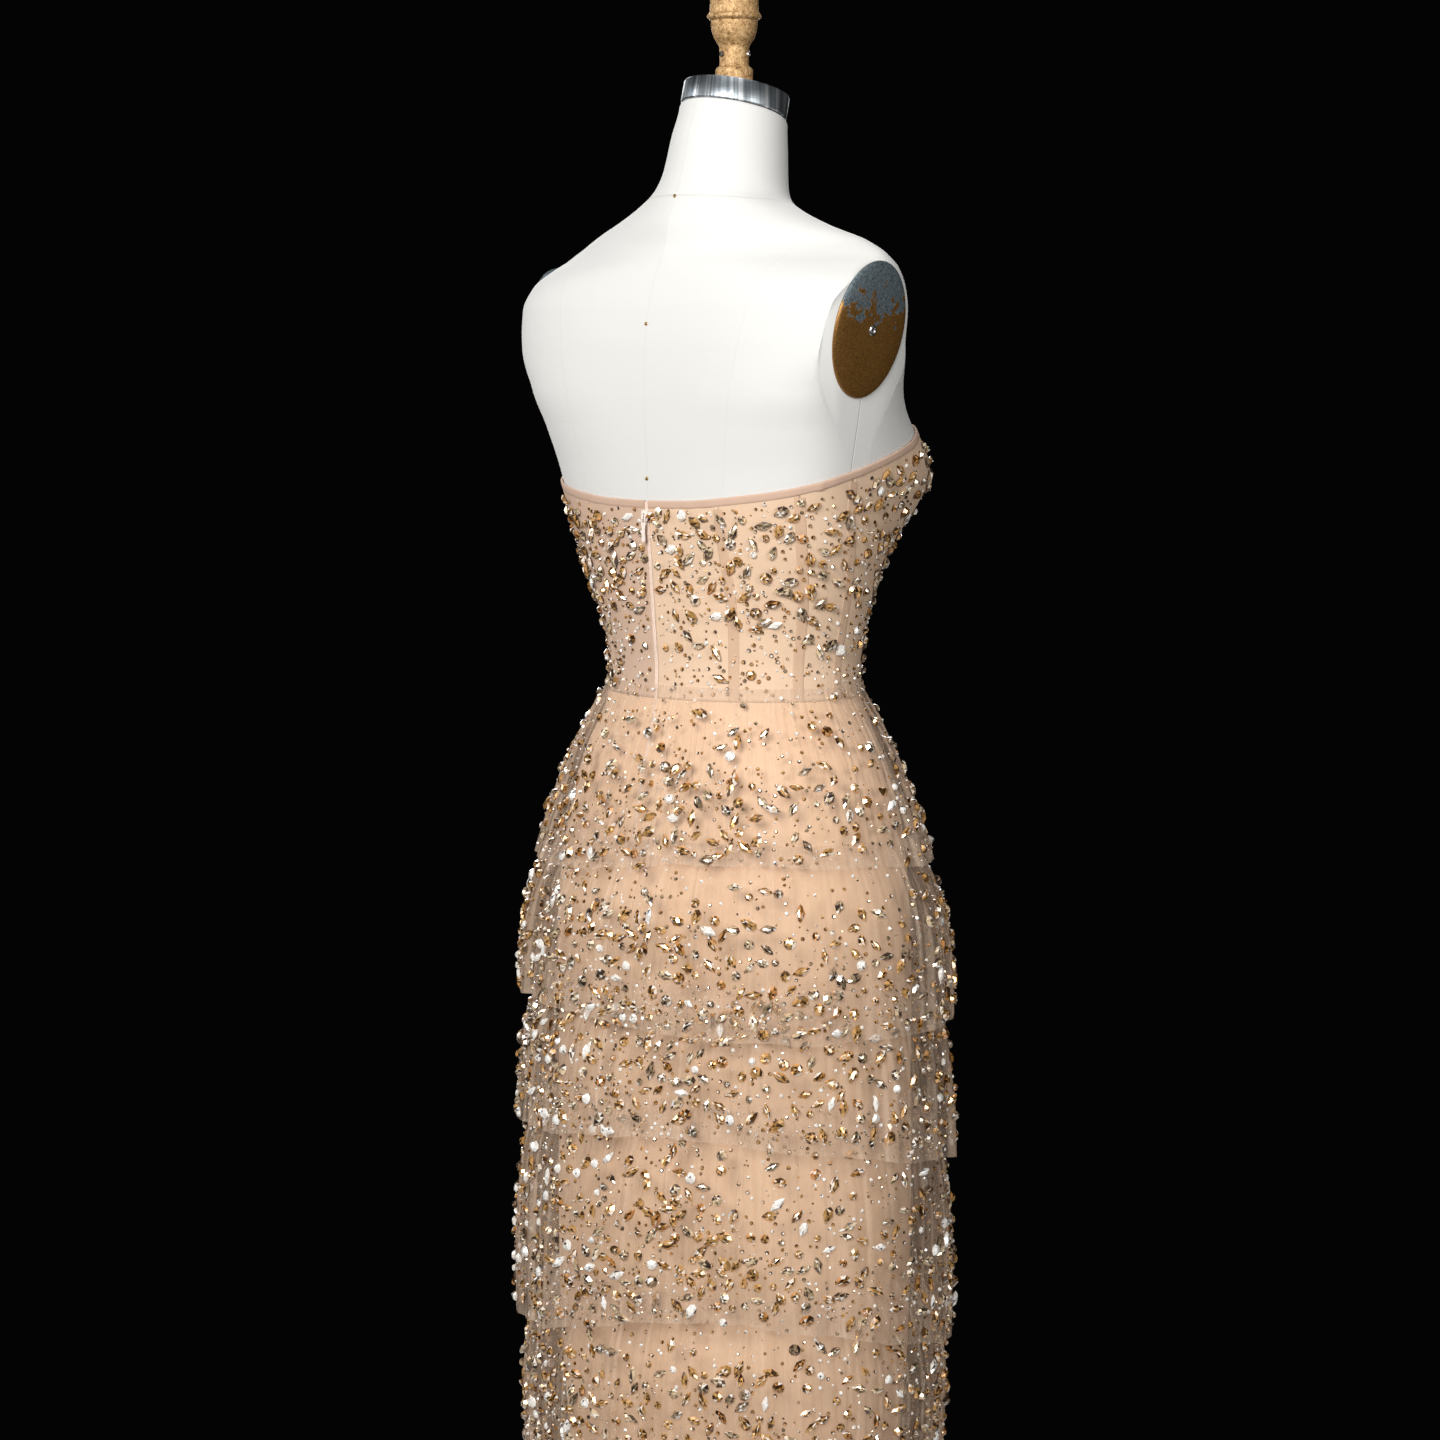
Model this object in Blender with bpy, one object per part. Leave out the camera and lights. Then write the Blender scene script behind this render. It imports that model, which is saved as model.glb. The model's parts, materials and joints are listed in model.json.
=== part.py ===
"""A strapless gown with seven gathered tulle tiers, on a dressmaker's form with its stand.

Frame: metres, +Z up, the origin on the floor under the pole. The front of the gown faces -Y and the
wearer's left is +X. Heights in the tables are in millimetres from the waist seam, which is WAIST above
the floor. Every cloth wall and the form under it come from one figure surface, point(angle, height),
moved out along its normal, so the pieces nest with a constant gap.
"""

import math
from collections import namedtuple

import bmesh
import bpy
from mathutils import Matrix, Vector

MM = 0.001

# Driving sizes, in millimetres
WAIST = 1050.0  # the waist seam above the floor
SEAM_GAP = 0.3  # between pieces that meet at a seam or lie on each other
FIT_GAP = 0.6  # between the form and the cloth round it
BODICE_WALL = 1.5  # mesh, lining and boning together
UNDERSKIRT_WALL = 1.2
TULLE_WALL = 1.0
BINDING_WALL, BINDING_HEIGHT = 0.7, 6.0
CASING_WALL, CASING_WIDTH = 0.6, 9.0
ZIP_WIDTH, ZIP_DEEP, ZIP_BOTTOM = 3.8, 1.4, -142.0
FORM_BOTTOM = -235.0
NECK_TOP = 479.0

# The figure: half width at the side, depths behind and before the pole, where the widest point lies,
# and how square each half of the section is. A slope tips the section, front down, at the neck.
Section = namedtuple("Section", "height half_width back front centre back_square front_square slope")
FIGURE = [
    Section(-1040, 280, 280, 280, 0, 2.0, 2.0, 0),
    Section(-970, 254, 252, 252, 0, 2.0, 2.0, 0),
    Section(-890, 219, 212, 212, 0, 2.0, 2.0, 0),
    Section(-800, 181, 171, 171, 0, 2.0, 2.0, 0),
    Section(-720, 155, 141, 140, 0, 2.0, 2.0, 0),
    Section(-640, 148, 131, 130, 0, 2.0, 2.0, 0),
    Section(-560, 156, 134, 132, 0, 2.0, 2.0, 0),
    Section(-450, 162, 133, 129, 0, 2.0, 2.0, 0),
    Section(-340, 164, 130, 124, 0, 2.0, 2.0, 0),
    Section(-235, 166, 127, 119, 0, 2.05, 2.05, 0),
    Section(-200, 166, 126, 118, 0, 2.05, 2.05, 0),
    Section(-150, 163, 121, 114, 0, 2.05, 2.05, 0),
    Section(-100, 156, 112, 109, 0, 2.05, 2.05, 0),
    Section(-50, 140, 101, 99, 0, 2.05, 2.05, 0),
    Section(-25, 127, 94, 94, 0, 2.0, 2.0, 0),
    Section(0, 116, 89, 89, 0, 2.0, 2.0, 0),
    Section(25, 116, 88, 88, 0, 2.0, 2.0, 0),
    Section(50, 120, 90, 89, 0, 2.0, 2.0, 0),
    Section(75, 127, 92, 91, 2, 2.1, 2.0, 0),
    Section(100, 135, 94, 94, 6, 2.2, 2.0, 0),
    Section(125, 143, 96, 98, 12, 2.3, 2.0, 0),
    Section(158, 148, 99, 103, 18, 2.55, 2.15, 0),
    Section(188, 155, 101, 106, 22, 2.7, 2.3, 0),
    Section(220, 162, 103, 103, 25, 3.2, 2.35, 0),
    Section(250, 172, 104, 93, 26, 3.9, 2.3, 0),
    Section(285, 191, 103, 77, 27, 3.5, 2.1, 0),
    Section(317, 193, 99, 67, 26, 3.5, 2.3, 0),
    Section(336, 189, 94, 60, 22, 3.1, 2.4, 0),
    Section(350, 184, 89, 55, 17, 2.2, 2.2, 0),
    Section(360, 178, 84, 52, 13, 1.65, 1.7, 0),
    Section(370, 162, 80, 50, 14, 1.45, 1.5, 0.01),
    Section(384, 123, 78, 46, 21, 1.5, 1.5, 0.03),
    Section(398, 85, 71, 42, 20, 1.7, 1.7, 0.07),
    Section(410, 59, 66, 41, 15, 2.0, 2.0, 0.10),
    Section(424, 52, 60.5, 42, 11, 2.0, 2.0, 0.13),
    Section(450, 48, 53.5, 43, 6, 2.0, 2.0, 0.19),
    Section(479, 44.5, 44.5, 43.5, 1, 2.0, 2.0, 0.236),
]

# The two bust points of the figure: a rounded rise on each side of the front
BUST_ANGLE, BUST_SPREAD = -54.0, 17.0  # degrees
BUST_HEIGHT, BUST_ABOVE, BUST_BELOW = 178.0, 36.0, 44.0
BUST_RISE = 35.0

# The bodice's top edge, by angle from the wearer's left side: 90 is the centre back, -90 the centre front
EdgePoint = namedtuple("EdgePoint", "angle height")
TOP_EDGE = [
    EdgePoint(-90, 206),
    EdgePoint(-70, 214),
    EdgePoint(-50, 222),
    EdgePoint(-25, 206),
    EdgePoint(0, 188),
    EdgePoint(30, 170),
    EdgePoint(60, 163),
    EdgePoint(90, 162),
]

# Seam angles on the wearer's left; the right side mirrors them
SIDE_SEAM, UNDERARM_SEAM, BACK_SEAM, PRINCESS_SEAM = 0.0, 18.0, 45.0, -63.0

# The radii at which widths round the figure are turned into angles
SEAM_RADIUS, COIL_RADIUS, BACK_EDGE_RADIUS, BINDING_END_RADIUS = 120.0, 95.0, 92.0, 99.0

# The columns and rows that every wall and the form share
STEP_ANGLE = 9.0
COLUMNS = sorted({k * STEP_ANGLE for k in range(-20, 20)} | {-4.5, 4.5, 175.5, -175.5})
BODICE_STRIPS = 8  # from the waist to the binding
HIP_ROWS = [0, -25, -50, -80, -112, ZIP_BOTTOM, -185, FORM_BOTTOM]
SKIRT_ROWS = [-345, -455, -560, -645, -735, -835, -1033]
CHEST_ROWS = [282, 310, 334, 350, 361, 371, 383, 397, 411, 430, 454, NECK_TOP]

# The tiers: where each is sewn on and where its hem hangs on average, in millimetres from the waist.
# Its hem rides up over the seat and the far hip by lift, and droops towards the wearer's right by droop.
Tier = namedtuple("Tier", "top hem lift droop")
TIERS = [
    Tier(-0.3, -133, 7, -3),
    Tier(-112, -261, -3, 6),
    Tier(-228, -361, 14, 12),
    Tier(-322, -516, 22, 7),
    Tier(-482, -686, 9, 4),
    Tier(-652, -858, 5, -3),
    Tier(-826, -1033, 0, 0),
]
TIER_WAVES, POINTS_PER_WAVE = 21, 3
TIER_GAP = 0.5  # between the sewn edge and the underskirt
TIER_HANG = 34.0  # how far a hem stands off the underskirt
TIER_REACH = 38.0  # how soon below its seam a tier reaches that
WAVE_DEPTH, WAVE_REACH, WAVE_UNEVEN = 4.5, 50.0, 0.3
FIRST_TIER_OFFSETS = [(0, 0.0), (12, 10.0), (50, 14.0), (95, 17.5), (146, 24.5)]

# The form's armholes: flats cut in the sides, each with an oval plate
ARM_HEIGHT, ARM_CENTRE = 300.0, 27.0
ARM_FLAT = 176.0  # the flat's distance from the middle at ARM_HEIGHT
ARM_LEAN, ARM_TURN = 10.5, 5.0  # degrees: the flat faces down a little, and its oval leans forward
ARM_CUT = (160.0, 200.0, 330.0)  # the cutter's depth, width and height
ARM_PLATE_HALF = (40.0, 55.0)  # across and up
ARM_PLATE_DOME = [(1.0, 0.0), (1.0, 1.5), (0.86, 2.7), (0.5, 4.3)]  # share of its size, height off its back

RING_RADIUS, RING_WALL, RING_HEIGHT = 44.0, 4.0, 18.5
CAP_DROP = 1.0  # the cap's top under the ring's
FINIAL_FOOT_RADIUS = 15.3
FINIAL = [(15.3, 514), (12.2, 516), (12.2, 530), (13.5, 534), (16.7, 538.5), (18.8, 546), (19.4, 553), (22.2, 555)]
FINIAL += [(22.4, 557), (20.4, 560.5), (19.4, 565), (19.2, 573), (18, 581), (14, 589), (8, 594), (3, 595)]
POLE_RADIUS = 16.0
FLANGE_RADIUS, FLANGE_HEIGHT = 60.0, 8.0
FLANGE_HUB = (24.0, 14.0)  # radius and height
HUB_TOP = 60.0  # the base's hub, above the floor
BASE = [(187, 0), (190, 3), (190, 10), (187, 12), (60, 20), (27, 30), (25, HUB_TOP)]  # above the floor
ROUND_SIDES, BASE_SIDES = 24, 36

# Zip slider and pull
SLIDER_HEIGHT = 150.0  # the pull's hinge, above the waist
SLIDER_SIZE = (7.0, 2.4, 9.0)
BRIDGE_WIDTH, BRIDGE_THICK, BRIDGE_HOLE = 1.5, 0.9, (2.1, 4.2)
PULL_WIDTH, PULL_THICK, PULL_LENGTH = 4.6, 0.9, 22.0
PULL_EYE, PULL_BAR = (2.5, 5.2), 1.0


# ---------------------------------------------------------------- the figure surface


def smooth_between(table, key, at):
    """Each column of a table at a value of its first, by a curve that doesn't overshoot."""
    rows = sorted(table, key=key)
    keys = [key(row) for row in rows]
    at = min(max(at, keys[0]), keys[-1])
    i = max(k for k in range(len(rows) - 1) if keys[k] <= at)
    span = keys[i + 1] - keys[i]
    t = (at - keys[i]) / span

    def gradient(k, column):
        if k in (0, len(rows) - 1):
            return 0.0
        before = (rows[k][column] - rows[k - 1][column]) / (keys[k] - keys[k - 1])
        after = (rows[k + 1][column] - rows[k][column]) / (keys[k + 1] - keys[k])
        return 2 * before * after / (before + after) if before * after > 0 else 0.0

    result = []
    for column in range(len(rows[0])):
        a, b = rows[i][column], rows[i + 1][column]
        ga, gb = gradient(i, column) * span, gradient(i + 1, column) * span
        result.append(
            a * (1 + 2 * t) * (1 - t) ** 2 + b * t * t * (3 - 2 * t) + ga * t * (1 - t) ** 2 - gb * t * t * (1 - t)
        )
    return type(rows[0])(*result)


def section_at(height):
    return smooth_between(FIGURE, lambda row: row.height, height)


def top_edge(angle):
    """The bodice's top edge at an angle, the same on both sides."""
    mirrored = math.degrees(math.asin(math.sin(math.radians(angle))))
    return smooth_between(TOP_EDGE, lambda row: row.angle, mirrored).height


def bodice_rows(angle):
    """The heights of the bodice's rows at an angle, from the waist to the binding and its top edge."""
    top = top_edge(angle)
    return [k / BODICE_STRIPS * (top - BINDING_HEIGHT) for k in range(BODICE_STRIPS + 1)] + [top]


def point(angle, height):
    """A point of the figure's surface, in millimetres from the waist."""
    s = section_at(height)
    across, along = math.cos(math.radians(angle)), math.sin(math.radians(angle))
    behind = along >= 0
    depth = (s.back - s.centre) if behind else (s.front + s.centre)
    square = s.back_square if behind else s.front_square
    radius = ((abs(across) / s.half_width) ** square + (abs(along) / depth) ** square) ** (-1 / square)
    spread = BUST_ABOVE if height > BUST_HEIGHT else BUST_BELOW
    up = math.exp(-0.5 * ((height - BUST_HEIGHT) / spread) ** 2)
    for bust in (BUST_ANGLE, -180 - BUST_ANGLE):
        turn = (angle - bust + 180) % 360 - 180
        radius += BUST_RISE * up * math.exp(-0.5 * (turn / BUST_SPREAD) ** 2)
    y = radius * along
    return Vector((radius * across, s.centre + y, height + s.slope * y))


def normal(angle, height):
    """The figure's outward direction there."""
    around = point(angle + 0.5, height) - point(angle - 0.5, height)
    up = point(angle, height + 1) - point(angle, height - 1)
    return around.cross(up).normalized()


def off_figure(angle, height, distance):
    return point(angle, height) + normal(angle, height) * distance


def shared_rows(angle):
    """The heights of the rows that the form, the bodice and the underskirt share, bottom to top."""
    return [*reversed(SKIRT_ROWS), *reversed(HIP_ROWS[1:]), *bodice_rows(angle)]


def on_rows(angle, height, distance):
    """A point on the flat strip between two shared rows, so that what lies on a wall follows its facets."""
    rows = shared_rows(angle)
    i = min(max(k for k in range(len(rows)) if rows[k] <= height + 1e-6), len(rows) - 2)
    share = (height - rows[i]) / (rows[i + 1] - rows[i])
    return off_figure(angle, rows[i], distance).lerp(off_figure(angle, rows[i + 1], distance), share)


def placed(vector):
    """Millimetres from the waist to metres from the floor."""
    return Vector((vector.x, vector.y, vector.z + WAIST)) * MM


# ---------------------------------------------------------------- making objects


def clear_scene():
    for old in list(bpy.data.objects):
        bpy.data.objects.remove(old)


def material(name, colour, roughness, metallic=0.0):
    made = bpy.data.materials.new(name)
    made.use_nodes = True
    shader = made.node_tree.nodes["Principled BSDF"]
    shader.inputs["Base Color"].default_value = (*colour, 1)
    shader.inputs["Roughness"].default_value = roughness
    shader.inputs["Metallic"].default_value = metallic
    return made


def add_object(name, bm, finish, smooth=True):
    """A mesh object from a bmesh whose points are already in metres."""
    bmesh.ops.recalc_face_normals(bm, faces=bm.faces)
    mesh = bpy.data.meshes.new(name)
    bm.to_mesh(mesh)
    bm.free()
    if smooth:
        mesh.shade_smooth()
        mesh.set_sharp_from_angle(angle=math.radians(35))
    mesh.materials.append(finish)
    made = bpy.data.objects.new(name, mesh)
    bpy.context.scene.collection.objects.link(made)
    return made


def facets(bm, low, high, steps):
    """The strip between two rows of points. Every wall splits its strips the same way, so they nest."""
    for a, b in steps:
        bm.faces.new((low[a], low[b], high[b]))
        bm.faces.new((low[a], high[b], high[a]))


def wall(name, columns, rows, inner, outer, finish, closed=False):
    """A cloth wall: two grids of points, inner(column, row) and outer(column, row), joined at the edges."""
    bm = bmesh.new()
    sides = [[[bm.verts.new(placed(side(c, r))) for c in columns] for r in rows] for side in (inner, outer)]
    count = len(columns)
    steps = [(c, (c + 1) % count) for c in range(count if closed else count - 1)]
    for side in sides:
        for low, high in zip(side, side[1:]):
            facets(bm, low, high, steps)
    within, without = sides
    for r in (0, -1):
        for a, b in steps:
            bm.faces.new((within[r][a], within[r][b], without[r][b], without[r][a]))
    if not closed:
        for c in (0, -1):
            for r in range(len(rows) - 1):
                bm.faces.new((within[r][c], within[r + 1][c], without[r + 1][c], without[r][c]))
    return add_object(name, bm, finish)


def turned(name, profile, finish, sides=ROUND_SIDES, foot_slope=0.0):
    """A solid turned about Z from (radius, height) points, bottom to top. A sloped foot follows the neck."""
    bm = bmesh.new()
    rings = []
    for k, (radius, height) in enumerate(profile):
        slope = foot_slope if k == 0 else 0.0
        turns = [2 * math.pi * i / sides for i in range(sides)]
        ring = [(radius * math.cos(a), radius * math.sin(a)) for a in turns]
        rings.append([bm.verts.new(placed(Vector((x, y, height + slope * y)))) for x, y in ring])
    for low, high in zip(rings, rings[1:]):
        for i in range(sides):
            j = (i + 1) % sides
            bm.faces.new((low[i], low[j], high[j], high[i]))
    bm.faces.new(rings[0])
    bm.faces.new(rings[-1])
    return add_object(name, bm, finish)


# ---------------------------------------------------------------- the bodice


def panel_columns(start, end):
    """The shared columns from one seam to the next, with half a seam's gap left at each end."""
    half_gap = math.degrees(0.5 * SEAM_GAP / SEAM_RADIUS)
    between = [a for a in [c + turn for turn in (0, 360) for c in COLUMNS] if start < a < end]
    return [start + half_gap] + between + [end - half_gap]


def back_columns(start, end, closing):
    """As panel_columns, but the edge at the centre back leaves room for the zip."""
    columns = panel_columns(start, end)
    clear = math.degrees((0.5 * ZIP_WIDTH + SEAM_GAP) / BACK_EDGE_RADIUS)
    columns[-1 if closing else 0] += -clear if closing else clear
    return columns


def bodice_panel(name, columns, finish):
    def at(distance):
        return lambda angle, row: on_rows(angle, max(bodice_rows(angle)[row], SEAM_GAP), distance)

    rows = range(BODICE_STRIPS + 2)
    return wall(name, columns, rows, at(FIT_GAP), at(FIT_GAP + BODICE_WALL), finish)


def make_bodice(mesh, binding):
    """Nine panels with seams on the columns, the boning casings over the seams, and the top binding."""
    spans = [
        ("side_front", PRINCESS_SEAM, SIDE_SEAM),
        ("underarm", SIDE_SEAM, UNDERARM_SEAM),
        ("side_back", UNDERARM_SEAM, BACK_SEAM),
    ]
    for name, start, end in spans:
        bodice_panel(f"bodice_{name}_L", panel_columns(start, end), mesh)
        bodice_panel(f"bodice_{name}_R", panel_columns(180 - end, 180 - start), mesh)
    bodice_panel("bodice_centre_back_L", back_columns(BACK_SEAM, 90, True), mesh)
    bodice_panel("bodice_centre_back_R", back_columns(90, 180 - BACK_SEAM, False), mesh)
    bodice_panel("bodice_centre_front", panel_columns(-180 - PRINCESS_SEAM, PRINCESS_SEAM), mesh)

    for name, angle in (
        ("princess", PRINCESS_SEAM),
        ("side", SIDE_SEAM),
        ("underarm", UNDERARM_SEAM),
        ("back", BACK_SEAM),
    ):
        casing(f"casing_{name}_L", angle, mesh)
        casing(f"casing_{name}_R", 180 - angle, mesh)

    start = FIT_GAP + BODICE_WALL + SEAM_GAP
    clear = math.degrees((0.5 * ZIP_WIDTH + SEAM_GAP) / BINDING_END_RADIUS)
    columns = [90 + clear] + [a for a in [c + t for t in (0, 360) for c in COLUMNS] if 90 < a < 450] + [450 - clear]

    def at(distance):
        return lambda angle, drop: on_rows(angle, top_edge(angle) - drop, distance)

    wall("top_binding", columns, [BINDING_HEIGHT, 0], at(start), at(start + BINDING_WALL), binding)


def casing(name, angle, finish):
    """A boning casing: a narrow strip over a seam, from the waist to just under the binding."""
    start = FIT_GAP + BODICE_WALL + SEAM_GAP
    bottom, top = 1.0, top_edge(angle) - BINDING_HEIGHT - 3

    def at(distance):
        def place(side, height):
            tangent = point(angle + 0.5, height) - point(angle - 0.5, height)
            return on_rows(angle, height, distance) + tangent.normalized() * side * CASING_WIDTH / 2

        return place

    rows = [bottom] + bodice_rows(angle)[1:-2] + [top]
    wall(name, [-1, 0, 1], rows, at(start), at(start + CASING_WALL), finish)


# ---------------------------------------------------------------- the zip


def make_zip(tape, metal):
    """The coil between the back edges, the slider on it, and the pull that swings on the slider's bridge."""
    half = math.degrees(0.5 * ZIP_WIDTH / COIL_RADIUS)
    rows = [ZIP_BOTTOM] + [h for h in shared_rows(90) if h > ZIP_BOTTOM]

    def at(distance):
        return lambda angle, height: on_rows(angle, height, distance)

    wall("zip_coil", [90 - half, 90 + half], rows, at(FIT_GAP), at(FIT_GAP + ZIP_DEEP), tape)

    surface = max(off_figure(90, SLIDER_HEIGHT + d, FIT_GAP + ZIP_DEEP).y for d in (-6, 0, 6))
    width, thick, height = SLIDER_SIZE
    face = surface + SEAM_GAP + thick
    hole_deep, hole_high = BRIDGE_HOLE
    centre = Vector((0, surface + SEAM_GAP + thick / 2, SLIDER_HEIGHT))

    body = block(centre, SLIDER_SIZE)
    bridge = []
    reach = hole_deep + BRIDGE_THICK
    for up in (1, -1):
        level = SLIDER_HEIGHT + up * (hole_high + BRIDGE_THICK) / 2
        middle = Vector((0, face + reach / 2 - 0.2, level))
        bridge.append(block(middle, (BRIDGE_WIDTH, reach + 0.4, BRIDGE_THICK)))
    bar_middle = Vector((0, face + hole_deep + BRIDGE_THICK / 2, SLIDER_HEIGHT))
    bridge.append(block(bar_middle, (BRIDGE_WIDTH, BRIDGE_THICK, hole_high + BRIDGE_THICK)))
    slider = joined("zip_slider", body, bridge, metal)
    bevel(slider, 0.15)

    hinge = Vector((0, face + hole_deep / 2, SLIDER_HEIGHT))
    make_pull(hinge, metal)
    return hinge


def block(centre, size):
    """A box as a bmesh, in metres."""
    bm = bmesh.new()
    bmesh.ops.create_cube(bm, size=1.0)
    bmesh.ops.scale(bm, vec=Vector(size) * MM, verts=bm.verts)
    bmesh.ops.translate(bm, vec=placed(centre), verts=bm.verts)
    return bm


def joined(name, body, extras, finish):
    """A body with extra blocks united to it."""
    made = add_object(name, body, finish, smooth=False)
    for k, extra in enumerate(extras):
        tool = add_object(f"{name}_tool_{k}", extra, finish, smooth=False)
        tool.hide_render = True
        tool.display_type = "WIRE"
        union = made.modifiers.new(f"unite_{k}", "BOOLEAN")
        union.operation = "UNION"
        union.object = tool
    return made


def bevel(made, width):
    edge = made.modifiers.new("soft_edges", "BEVEL")
    edge.width = width * MM
    edge.segments = 1
    edge.limit_method = "ANGLE"


def make_pull(hinge, metal):
    """A flat pull with an eye round the bridge. Its origin is on the hinge."""
    eye_wide, eye_long = PULL_EYE
    top = PULL_BAR / 2
    half = PULL_WIDTH / 2
    outline = [(-half * 0.7, top), (half * 0.7, top), (half, top - 1), (half, -7), (half * 0.8, -9)]
    outline += [(half * 0.62, -12), (half * 0.8, 2 - PULL_LENGTH), (half * 0.45, 0.6 - PULL_LENGTH)]
    outline += [(-x, z) for x, z in reversed(outline[4:])] + [(-half, -7), (-half, top - 1)]
    eye = [(-eye_wide / 2, -top), (eye_wide / 2, -top), (eye_wide / 2, -top - eye_long)]
    eye.append((-eye_wide / 2, -top - eye_long))
    bm = bmesh.new()
    loops = []
    for side in (-1, 1):
        y = side * PULL_THICK / 2
        loops.append([[bm.verts.new(Vector((x, y, z)) * MM) for x, z in ring] for ring in (outline, eye)])
        edges = [bm.edges.new((ring[i - 1], ring[i])) for ring in loops[-1] for i in range(len(ring))]
        bmesh.ops.triangle_fill(bm, edges=edges, use_beauty=True)
    for near, far in zip(*loops):
        for i in range(len(near)):
            bm.faces.new((near[i - 1], near[i], far[i], far[i - 1]))
    pull = add_object("zip_pull", bm, metal, smooth=False)
    pull.location = placed(hinge)
    return pull


# ---------------------------------------------------------------- the skirt


def make_underskirt(finish):
    """The nude underskirt: a front and two backs, with the zip's opening at the centre back."""
    rows = HIP_ROWS + SKIRT_ROWS

    def at(distance):
        def place(angle, height):
            edge_shift = 0.0
            if height < ZIP_BOTTOM:  # under the zip, the two backs close up
                turn = (angle - 90 + 180) % 360 - 180
                if abs(turn) < 3:
                    arc = math.degrees((0.5 * SEAM_GAP) / point(90, height).y)
                    edge_shift = math.copysign(arc, turn) - turn
            return off_figure(angle + edge_shift, min(height, -SEAM_GAP), distance)

        return place

    inner, outer = at(FIT_GAP), at(FIT_GAP + UNDERSKIRT_WALL)
    wall("underskirt_front", panel_columns(-180, 0), rows, inner, outer, finish)
    wall("underskirt_back_L", back_columns(0, 90, True), rows, inner, outer, finish)
    wall("underskirt_back_R", back_columns(90, 180, False), rows, inner, outer, finish)


def tier_offset(first, drop):
    """How far a tier stands off the underskirt, by the distance below its sewn edge."""
    if not first:
        return TIER_HANG * (1 - math.exp(-drop / TIER_REACH))
    for (d0, o0), (d1, o1) in zip(FIRST_TIER_OFFSETS, FIRST_TIER_OFFSETS[1:]):
        if drop <= d1:
            return o0 + (o1 - o0) * (drop - d0) / (d1 - d0)
    return FIRST_TIER_OFFSETS[-1][1]


def tier_height(tier, angle, share):
    """A tier's height at an angle, a share of the way from its seam to its hem."""
    lift = tier.lift * math.cos(math.radians(2 * (angle - 135)))
    droop = tier.droop * math.cos(math.radians(angle - 225))
    return tier.top + share * (tier.hem - tier.top + lift - droop)


def make_tiers(finish):
    """Seven gathered rings of tulle, each sewn to the underskirt under the hem of the one above."""
    columns = [360 * k / (TIER_WAVES * POINTS_PER_WAVE) for k in range(TIER_WAVES * POINTS_PER_WAVE)]
    for k, tier in enumerate(TIERS):
        first = k == 0
        rows = [1, 0.65, 0.34, 0.09, 0] if first else [1, 45 / (tier.top - tier.hem), 0]

        def at(extra, tier=tier, first=first):
            def place(angle, share):
                height = tier_height(tier, angle, share)
                drop = tier.top - height
                out = normal(angle, height)
                out.z = 0
                wave = math.cos(math.radians(TIER_WAVES * angle)) * (1 - math.exp(-drop / WAVE_REACH))
                uneven = 1 + WAVE_UNEVEN * math.cos(math.radians(4 * angle))
                start = FIT_GAP + UNDERSKIRT_WALL + TIER_GAP
                distance = tier_offset(first, drop) + WAVE_DEPTH * wave * uneven + extra
                return on_rows(angle, height, start) + out.normalized() * distance

            return place

        wall(f"tier_{k + 1}", columns, rows, at(0), at(TULLE_WALL), finish, closed=True)


# ---------------------------------------------------------------- the form and its stand


def form_heights(angle):
    """The form's rows: the shared ones, two that even out above the bodice's edge, then level ones."""
    edge, level = top_edge(angle), CHEST_ROWS[0]
    between = [edge + (level - edge) * share for share in (0.33, 0.67)]
    return [h for h in shared_rows(angle) if h >= FORM_BOTTOM] + between + CHEST_ROWS


def arm_frame(side):
    """The armhole flat's own axes: x out of the flat, y across it, z up along the oval."""
    lean = Matrix.Rotation(math.radians(ARM_LEAN), 4, "Y")
    turn = Matrix.Rotation(math.radians(ARM_TURN), 4, "X")
    mirror = Matrix.Scale(side, 4, Vector((1, 0, 0)))
    centre = placed(Vector((ARM_FLAT, ARM_CENTRE, ARM_HEIGHT)))
    return mirror @ Matrix.Translation(centre) @ lean @ turn


def make_form(cover):
    """The padded torso from hip to neck, with a flat cut at each armhole."""
    bm = bmesh.new()
    columns = [[bm.verts.new(placed(point(a, h))) for h in form_heights(a)] for a in COLUMNS]
    rings = list(zip(*columns))
    steps = [(i, (i + 1) % len(COLUMNS)) for i in range(len(COLUMNS))]
    for low, high in zip(rings, rings[1:]):
        facets(bm, low, high, steps)
    bm.faces.new(rings[0])
    bm.faces.new(rings[-1])
    form = add_object("form_torso", bm, cover)

    for side, name in ((1, "L"), (-1, "R")):
        cutter_mesh = bmesh.new()
        bmesh.ops.create_cube(cutter_mesh, size=1.0)
        bmesh.ops.scale(cutter_mesh, vec=Vector(ARM_CUT) * MM, verts=cutter_mesh.verts)
        bmesh.ops.translate(cutter_mesh, vec=Vector((ARM_CUT[0] / 2, 0, 0)) * MM, verts=cutter_mesh.verts)
        bmesh.ops.transform(cutter_mesh, matrix=arm_frame(side), verts=cutter_mesh.verts)
        cutter = add_object(f"armhole_cut_{name}", cutter_mesh, cover, smooth=False)
        cutter.hide_render = True
        cutter.display_type = "WIRE"
        cut = form.modifiers.new(f"armhole_{name}", "BOOLEAN")
        cut.operation = "DIFFERENCE"
        cut.object = cutter
    return form


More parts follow.
